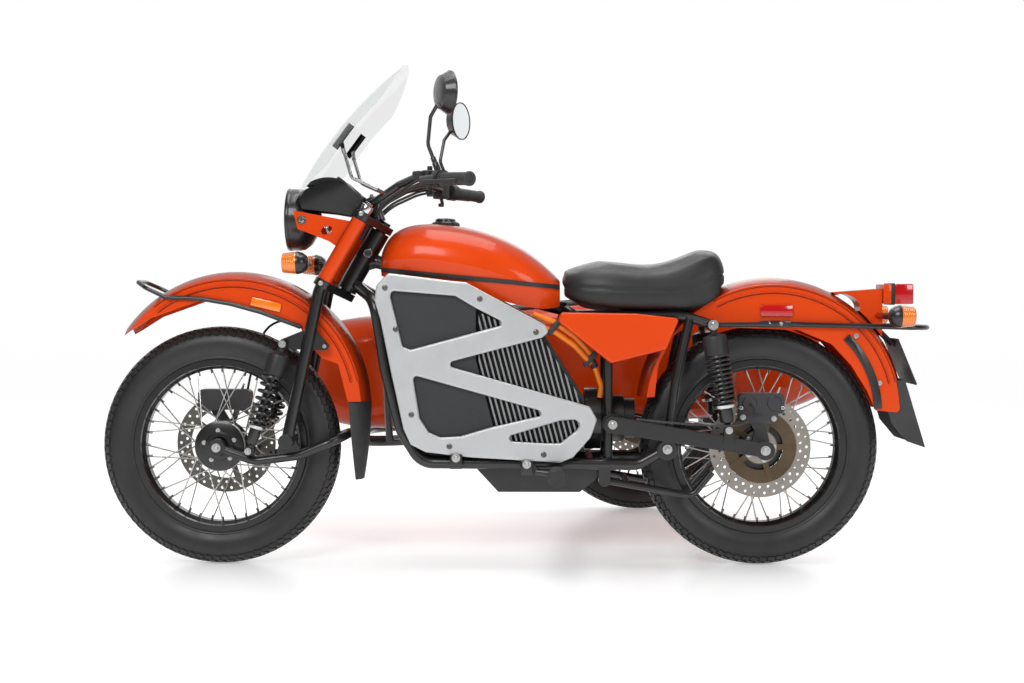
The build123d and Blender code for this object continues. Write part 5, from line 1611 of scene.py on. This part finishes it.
    def build(self) -> None:
        """Build and dress the front end."""
        self.headlight()
        self.indicators()
        self.grips()
        self.hardware()
        self.caps()
        self.cheeks()
        self.pods()
        self.mirror_glass()
        self.hoses()
        self.instruments()
        for node in ("fork_legs", "fork_link", "handlebar", "mudguard_rail"):
            dress(node, Finishes.satin_black)
        for node in ("fork_shrouds", "front_mudguard"):
            dress(node, Finishes.paint)
        for node in ("cowl", "bar_controls"):
            dress(node, Finishes.plastic)
        dress("front_flap", Finishes.rubber)
        dress("front_caliper", Finishes.caliper)
        dress("windscreen", Finishes.screen)
        dress("windscreen_struts", Finishes.struts)
        dress("mirrors", Finishes.satin_black)


# ---------------------------------------------------------------- mudguards


@dataclass
class MudguardTrim:
    """The pressed lines along a mudguard's shoulders."""

    name: str
    body: str
    centre: Vector
    crown: float
    span: tuple[float, float]
    drops: tuple[float, ...] = (20.0, 39.0)

    def surface(self, radius: float, side: int) -> float | None:
        """How far across the guard's outside lies, found with a ray from the side.

        Args:
            radius: the height over the guard's centre, in millimetres.
            side: which side.

        Returns:
            The distance in millimetres, or None where the ray meets nothing.
        """
        tree = surface_tree(self.name)
        middle = math.radians(sum(self.span) / 2)
        out = Vector((math.cos(middle), 0, math.sin(middle)))
        aside = ACROSS * side
        hit = tree.ray_cast(self.centre + out * radius * MM + aside * RAY_START, -aside)[0]
        return abs(hit.y - self.centre.y) / MM if hit else None

    def build(self) -> None:
        """Add the pressed lines along each shoulder, where the guard's skin is, each a rib with a thin dark
        line of painted shade under it.
        """
        shape = Shape()
        for side in SIDES:
            for drop in self.drops:
                # Slot 0 is the rib in paint; slot 1 is a thin dark line of painted shade just under it.
                for inset, wire, slot in ((0.0, 3.4, 0), (4.4, 1.5, 1)):
                    radius = self.crown - drop - inset
                    across = self.surface(radius, side)
                    if across:
                        shape.arc(self.centre, radius, side * across, wire, *self.span, flat=0.6, slot=slot)
        made = shape.piece(f"{self.name}_pressed_lines", self.body, Finishes.paint, Finishes.seam)


@dataclass
class Bodywork:
    """The painted panels with their trims, reflectors, lamps and bolts."""

    def reflectors(self) -> None:
        """Flat reflectors on the sides of both mudguards."""
        front, rear = Shape(), Shape()
        for side in SIDES:
            turn = Matrix.Rotation(math.radians(13), 4, "Y")
            front.block(at(136, side * 77.5, 726), (84, 9, 24), 1.5, turn=turn)
            rear.block(at(1539, side * 87.5, 709), (88, 9, 30), 1.5)
        # The reflectors take the lamps' finishes, so they glow: painted light, with a painted shade at their
        # edges.
        made = front.piece("front_reflectors", "steering", Finishes.amber)
        made = rear.piece("rear_reflectors", "chassis", Finishes.red)

    def tail_lamp(self) -> None:
        """A red lens with ridges on a black housing."""
        shape = Shape()
        shape.block(at(1851, 0, 755), (24, 100, 54), 2, slot=2)
        shape.block(at(1866, 0, 755), (9, 106, 60), 2)
        shape.block(at(1896, 0, 755), (52, 102, 56), 4, slot=1, segments=3)
        for index in range(5):
            shape.block(at(1919, 0, 737 + index * 8.4), (6, 92, 3.2), 1, slot=1)
        made = shape.piece("tail_light", "chassis", Finishes.plastic, Finishes.red, Finishes.paint)
        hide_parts("tail_lamp")

    def filler_cap(self) -> None:
        """A ribbed grip ring and a round knob over the tank's cap."""
        shape = Shape()
        foot = at(627, 0, 941)
        knob = [(37.5, 0), (38, 3), (38, 11), (35, 14.5), (29, 15), (28, 22), (22, 25), (0, 25.5)]
        shape.lathe(knob, foot, UP, 48)
        for index in range(24):
            turn = math.tau * index / 24
            out = Vector((math.cos(turn), math.sin(turn), 0))
            rib = foot + out * 37.6 * MM
            shape.rod(rib + UP * 3 * MM, rib + UP * 11 * MM, 2.0, 8)
        made = shape.piece("filler_cap", "chassis", Finishes.satin_black)

    def bolts(self) -> None:
        """The bolts that show on the body and the tail."""
        shape = Shape()
        for side in SIDES:
            out = ACROSS * side
            shape.bolt(at(1357, side * 169, 672), out, 18)
            shape.bolt(at(1401, side * 167, 387), out, 13)
            shape.lathe([(0, -2), (26, -2), (29, 1), (29, 5), (26, 8), (15, 8), (14, 5), (0, 5)],
                        at(1237, side * 136, 333), out, 36, slot=1)
            shape.bolt(at(1237, side * 141, 333), out, 17)
            shape.bolt(at(1500, side * 164, 332), out, 17)
            shape.bolt(at(1087, side * 164, 402), out, 16)
            shape.block(at(1532, side * 107, 673.6), (88, 4, 19), 1.5, slot=1)
            for x in (1517, 1548):
                shape.bolt(at(x, side * 109, 673.6), out, 8)
            shape.plate(sector(1530, 430, 277, 299, 2, 46), side * 88, 5, 1.5, slot=1)
            for x, z in ((1757, 640), (1822, 511)):
                shape.bolt(at(x, side * 88, z), out, 9)
        made = shape.piece("chassis_bolts", "chassis", Finishes.zinc, Finishes.satin_black)

    def build(self) -> None:
        """Build and dress the body."""
        self.reflectors()
        self.tail_lamp()
        self.filler_cap()
        self.bolts()
        MudguardTrim("front_mudguard", "steering", at(42, 0, 441), 376, (12, 128)).build()
        MudguardTrim("rear_mudguard", "chassis", at(1530, 0, 430), 370, (14, 118)).build()
        MudguardTrim("sidecar_mudguard", "chassis", at(1241, 1140, 350), 372, (22, 158)).build()
        for node in ("tank", "side_covers", "rear_mudguard", "tail_bracket", "sidecar_mudguard"):
            dress(node, Finishes.paint)
        dress("tank_trim", Finishes.plastic)
        dress("rear_flap", Finishes.rubber)
        dress("rear_rail", Finishes.satin_black)
        dress("number_plate", Finishes.plastic)


# ---------------------------------------------------------------- drive and frame


@dataclass
class DriveTrain:
    """The battery, its alloy cover, the heat sink, the motor and the frame."""

    cover_face: float = 155.0
    caliper_half: float = 22.0
    screws: tuple[tuple[float, float], ...] = (
        (471, 772), (728, 742), (542, 428), (645, 342), (901, 320), (500, 660), (880, 652),
    )

    def cover_screws(self) -> None:
        """Countersunk screws in the alloy cover, and the square clamps under it."""
        shape = Shape()
        for side in SIDES:
            out = ACROSS * side
            for x, z in self.screws:
                seat = at(x, side * self.cover_face, z)
                shape.lathe([(8, -0.5), (8, 0.6), (6.5, 1.6), (4, 2.2), (3.4, 0.4), (0, 0.4)], seat, out, 20)
            for x, z in ((663, 311), (855, 294)):
                shape.block(at(x, side * 158.5, z - 10), (34, 6, 40), 2, slot=1)
                shape.bolt(at(x, side * 161.5, z), out, 15, slot=2)
        made = shape.piece("cover_screws", "chassis", Finishes.dark_disc, Finishes.satin_black, Finishes.zinc)

    def calipers(self) -> None:
        """Bolts, pad pins, ribs and a bleed nipple on both calipers."""
        for name, body, x, z, y, side in (
            ("front_caliper_parts", "steering", -2.0, 456.0, 52.5, RIGHT),
            ("rear_caliper_parts", "chassis", 1502.0, 454.0, -52.5, LEFT),
        ):
            shape = Shape()
            away = ACROSS * side
            face = y + side * self.caliper_half
            piston = [(21, -3), (21, 4), (18, 7), (8, 7.6), (0, 7.6)]
            for shift in (-34, 34):
                shape.lathe(piston, at(x + shift, face, z), away, 32, slot=1)
            for shift in (-57, 57):
                shape.bolt(at(x + shift, face, z - 12), away, 9, socket=True)
            for shift in (-12, -4, 4, 12):
                shape.block(at(x + shift, face + side, z + 8), (3, 8, 34), 1.2, slot=1)
            inboard = face - side * 8
            shape.rod(at(x + 44, inboard, z + 27), at(x + 50, inboard, z + 44), 4, 12, taper=0.7)
            if body == "chassis":
                corners = ((-64, -20), (-66, -52), (-20, -60), (40, -56), (46, -26), (10, -16))
                shape.plate([(x + along, z + up) for along, up in corners], face, 6, 2, slot=1)
                for along, up in ((-52, -38), (33, -42)):
                    shape.bolt(at(x + along, face + side * 3, z + up), away, 10)
            made = shape.piece(name, body, Finishes.zinc, Finishes.caliper)

    def small_lines(self) -> None:
        """The rear brake's pipe on the swingarm, and the rubber ribs of the rider's pegs."""
        pipe = [at(1150, -166, 418), at(1200, -168, 412), at(1290, -168, 404), at(1392, -168, 398),
                at(1450, -168, 404), at(1480, -120, 440), at(1470, -84, 452)]
        made = flexible("rear_brake_pipe", pipe, 3.0, Finishes.rubber, "chassis")
        ribs = Shape()
        for side in SIDES:
            for index in range(9):
                start = at(935, side * (170 + index * 9.2), 266)
                ribs.lathe([(21.5, 0), (24, 1), (24, 4.6), (21.5, 5.6)], start, ACROSS * side, 36)
        made = ribs.piece("peg_ribs", "chassis", Finishes.rubber)

    def cable_clips(self) -> None:
        """Black clips that tie the power cables where they bend down to the motor."""
        shape = Shape()
        for x, y, z in ((930, -106, 665), (1030, -70, 577)):
            shape.block(at(x, y, z), (16, 26, 54), 5, turn=Matrix.Rotation(math.radians(40), 4, "Y"))
        shape.rod(at(1028, -70, 584), at(1043, -62, 552), 10.5, 20, soften=2)
        made = shape.piece("cable_clips", "chassis", Finishes.rubber)

    def lock(self) -> None:
        """The key's lock on the left of the steering head."""
        shape = Shape()
        seat = at(415, -20, 868)
        shape.rod(seat, at(415, -54, 868), 12, 28, soften=1)
        shape.lathe([(11.5, 0), (13, 1), (13, 5), (11.5, 6.5), (9, 6.5), (9, 3)], at(415, -50, 868), -ACROSS,
                    36, slot=1)
        made = shape.piece("key_lock", "chassis", Finishes.satin_black, Finishes.bright)

    def build(self) -> None:
        """Build and dress the drive and the frame."""
        self.calipers()
        self.small_lines()
        self.lock()
        self.cable_clips()
        self.cover_screws()
        dress("alloy_covers", Finishes.alloy)
        dress("battery_pack", Finishes.panel_black)
        dress("heat_sink", Finishes.fins)
        dress("power_cables", Finishes.orange_cable)
        for node in ("main_frame", "motor", "final_drive", "belly_pan", "swingarm", "centre_stand",
                     "foot_controls"):
            dress(node, Finishes.satin_black)
        dress("rear_caliper", Finishes.caliper)


# ---------------------------------------------------------------- sidecar


@dataclass
class Sidecar:
    """The sidecar's tub, frame, rolled edge, lid fittings and lamps."""

    cockpit: tuple[float, float, float, float] = (640.0, 1160.0, 218.0, 60.0)
    roll: float = 12.0
    roll_out: float = 4.0
    roll_up: float = 2.0
    probe: float = 3.0
    probe_out: float = 1.02
    handle_x: float = 1560.0
    trees: dict[str, BVHTree] = field(default_factory=dict)

    def deck(self, x: float, y: float, node: str = "sidecar_tub") -> float:
        """The height of the tub's outside at a place, in millimetres.

        Args:
            x: distance behind the front axle.
            y: distance to the right of the bike's centre plane.
            node: the node that is looked at from above.

        Returns:
            The height over the ground.
        """
        if node not in self.trees:
            self.trees[node] = surface_tree(node)
        hit = self.trees[node].ray_cast(at(x, y, ABOVE_ALL), -UP)[0]
        return hit.z / MM

    def rim_route(self) -> list[Vector]:
        """Points round the cockpit's mouth, on the deck just outside it.

        Returns:
            The control points of the roll.
        """
        front, rear, half, corner = self.cockpit
        middle, tub = (front + rear) / 2, PLACE.tub_middle
        ring = []
        for cx, cy, start in ((rear - corner, half - corner, 0), (front + corner, half - corner, 90),
                              (front + corner, -half + corner, 180), (rear - corner, -half + corner, 270)):
            for step in range(5):
                turn = math.radians(start + step * 22.5)
                reach = corner + self.roll_out
                ring.append((cx + reach * math.cos(turn), cy + reach * math.sin(turn)))
        route = []
        for x, y in ring:
            outside = x + (self.probe if x > middle else -self.probe)
            height = self.deck(outside, tub + y * self.probe_out) + self.roll_up
            route.append(at(x, tub + y, height))
        return route

    def coaming(self) -> None:
        """A padded roll round the mouth of the cockpit."""
        curve = round_line("cockpit_roll", self.rim_route(), self.roll, rings=4, steps=12, closed=True)
        holder = bpy.data.objects.new("cockpit_roll_line", curve)
        bpy.context.scene.collection.objects.link(holder)
        bpy.context.view_layer.update()
        shown = holder.evaluated_get(bpy.context.evaluated_depsgraph_get())
        mesh = bpy.data.meshes.new_from_object(shown)
        bpy.data.objects.remove(holder)
        made = bpy.data.objects.new("cockpit_roll", mesh)
        bpy.context.scene.collection.objects.link(made)
        for polygon in mesh.polygons:
            polygon.use_smooth = True
        mesh.materials.clear()
        mesh.materials.append(Finishes.material(Finishes.vinyl))
        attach(made, "chassis")
        LOG.info("padded cockpit_roll: %d points", len(mesh.vertices))

    def lid_fittings(self) -> None:
        """A handle and a lock on the trunk's lid."""
        shape = Shape()
        x, middle = self.handle_x, PLACE.tub_middle
        z = self.deck(x, middle, "trunk_lid")
        for side in SIDES:
            shape.rod(at(x, middle + side * 45, z - 2), at(x, middle + side * 45, z + 16), 5, 16)
        shape.rod(at(x, middle - 52, z + 18), at(x, middle + 52, z + 18), 6, 20, soften=2)
        shape.lathe([(14, 0), (14, 3), (11, 5), (4, 5), (4, 3), (0, 3)], at(x - 40, middle, z), UP, 28)
        made = shape.piece("lid_handle", "trunk_lid_body", Finishes.bright)

    def lamps(self) -> None:
        """A white front lamp and a red rear lamp on the sidecar's mudguard."""
        shape = Shape()
        for x, z, way, slot in ((1010, 655, -1, 1), (1500, 630, 1, 2)):
            foot = at(x, PLACE.track, z)
            axis = ALONG * way
            shape.lathe([(0, 2), (22, 3), (26, 8), (26, 30), (25, 33)], foot, axis, 36)
            shape.lathe([(24.8, 31), (24.8, 35), (20, 40), (10, 42.6), (0, 43.4)], foot, axis, 36, slot=slot)
        finishes = (Finishes.satin_black, Finishes.lamp_glass, Finishes.red)
        made = shape.piece("position_lamps", "chassis", *finishes)
        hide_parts("sidecar_lamps")

    def build(self) -> None:
        """Build and dress the sidecar."""
        self.coaming()
        self.lid_fittings()
        self.lamps()
        for node in ("sidecar_tub", "trunk_lid"):
            dress(node, Finishes.paint)
        for node in ("sidecar_frame", "sidecar_struts", "sidecar_arm"):
            dress(node, Finishes.satin_black)


# ---------------------------------------------------------------- studio


@dataclass
class Studio:
    """The pale floor, the soft lights and the camera."""

    lateral: float = 4500.0
    height: float = 766.2
    station: float = 868.9
    yaw: float = 0.713
    pitch: float = 1.836
    focal_pixels: float = 1607.0
    width_pixels: float = 1024.0
    sensor: float = 36.0
    floor_half: float = 30.0
    room: float = 0.035
    ceiling: float = 0.14

    def camera(self) -> None:
        """A level camera on the left of the machine, turned a little forward and down."""
        lens = bpy.data.cameras.new("camera")
        lens.sensor_width = self.sensor
        lens.lens = self.focal_pixels / self.width_pixels * self.sensor
        lens.clip_end = 100
        shooter = bpy.data.objects.new("camera", lens)
        bpy.context.scene.collection.objects.link(shooter)
        shooter.location = at(self.station, -self.lateral, self.height)
        yaw, pitch = math.radians(self.yaw), math.radians(self.pitch)
        look = Vector((-math.sin(yaw), math.cos(yaw), -math.tan(pitch)))
        shooter.rotation_euler = look.to_track_quat("-Z", "Y").to_euler()
        bpy.context.scene.camera = shooter

    def light(self, name: str, place: tuple[float, float, float], aim: tuple[float, float, float],
              size: float, power: float) -> None:
        """Add one soft area light.

        Args:
            name: its name.
            place: where it hangs, in metres.
            aim: where it points.
            size: its side in metres.
            power: in watts.
        """
        lamp = bpy.data.lights.new(name, "AREA")
        lamp.size = size
        lamp.energy = power
        holder = bpy.data.objects.new(name, lamp)
        bpy.context.scene.collection.objects.link(holder)
        holder.location = place
        holder.visible_camera = False
        holder.visible_transmission = False
        holder.rotation_euler = (Vector(aim) - Vector(place)).to_track_quat("-Z", "Y").to_euler()

    def floor(self) -> None:
        """A wide pale floor, which glows a little so that it meets the white behind it."""
        work = bmesh.new()
        bmesh.ops.create_grid(work, x_segments=1, y_segments=1, size=self.floor_half)
        mesh = bpy.data.meshes.new("floor")
        work.to_mesh(mesh)
        work.free()
        ground = bpy.data.objects.new("floor", mesh)
        bpy.context.scene.collection.objects.link(ground)
        material = bpy.data.materials.new("pale_floor")
        material.use_nodes = True
        shader = material.node_tree.nodes["Principled BSDF"]
        shader.inputs["Base Color"].default_value = (0.88, 0.88, 0.88, 1)
        shader.inputs["Roughness"].default_value = 0.28
        shader.inputs["Emission Color"].default_value = (1, 1, 1, 1)
        shader.inputs["Emission Strength"].default_value = 0.34
        mesh.materials.append(material)

    def sky(self) -> None:
        """White behind the machine, and a darker room on the camera's side, so that black stays black."""
        world = bpy.data.worlds.new("studio")
        bpy.context.scene.world = world
        world.use_nodes = True
        graph = Graph(world.node_tree)
        back = graph.tree.nodes["Background"]
        split = graph.add("ShaderNodeSeparateXYZ")
        graph.join(graph.add("ShaderNodeTexCoord").outputs["Generated"], split.inputs[0])
        behind = graph.ramp(split.outputs["Y"], -0.15, 0.45)
        above = graph.ramp(split.outputs["Z"], 0.25, 0.9)
        bright = graph.calc("MAXIMUM", behind, graph.calc("MULTIPLY", above, self.ceiling))
        room = graph.mix(bright, (self.room, self.room, self.room, 1), (1, 1, 1, 1))
        seen = graph.add("ShaderNodeLightPath").outputs["Is Camera Ray"]
        graph.join(graph.mix(seen, room, (1, 1, 1, 1)), back.inputs["Color"])
        back.inputs["Strength"].default_value = 1.0

    def build(self) -> None:
        """Set the stage."""
        bpy.context.scene.view_settings.view_transform = "Standard"
        self.sky()
        self.camera()
        self.floor()
        self.light("overhead", (0.0, -0.5, 3.0), (0, 0, 0.4), 1.6, 42)
        self.light("key", (-1.4, -4.4, 3.2), (0, -0.3, 0.5), 2.0, 112)
        self.light("fill", (2.9, -3.8, 2.0), (0.1, -0.3, 0.5), 1.4, 38)
        self.light("rim", (0.4, 3.8, 3.0), (0, 0.2, 0.6), 2.6, 34)


def main() -> None:
    """Build the machine in order."""
    logging.basicConfig(level=logging.INFO)
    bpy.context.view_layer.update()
    Studio().build()
    for wheel in (
        Wheel("front", FRONT_AXLE, "front_wheel_body", Finishes.dark_disc, disc_side=RIGHT, cover_side=LEFT),
        Wheel("rear", REAR_AXLE, "rear_wheel_body", Finishes.disc),
        Wheel("sidecar", SIDECAR_AXLE, "sidecar_wheel_body", Finishes.side_disc, cover_side=RIGHT),
    ):
        wheel.build()
    for unit, stands in (
        (SpringUnit("front_spring_units", "steering", "front_shocks", at(94, 0, 326), at(189, 0, 619), 26.0),
         (-122.0, 122.0)),
        (SpringUnit("rear_spring_units", "chassis", "rear_shocks", at(1401, 0, 386.8), at(1357, 0, 672), 31.0,
                    wire=3.9, turns=11.0),
         (-150.0, 150.0)),
        (SpringUnit("sidecar_spring_unit", "chassis", "sidecar_shock", at(1180, 0, 380), at(1164, 0, 612),
                    26.0),
         (1000.0,)),
    ):
        unit.build(stands)
    FrontEnd().build()
    Bodywork().build()
    DriveTrain().build()
    Saddle().build()
    PassengerSeat().build()
    Sidecar().build()


if __name__ == "__main__":
    main()
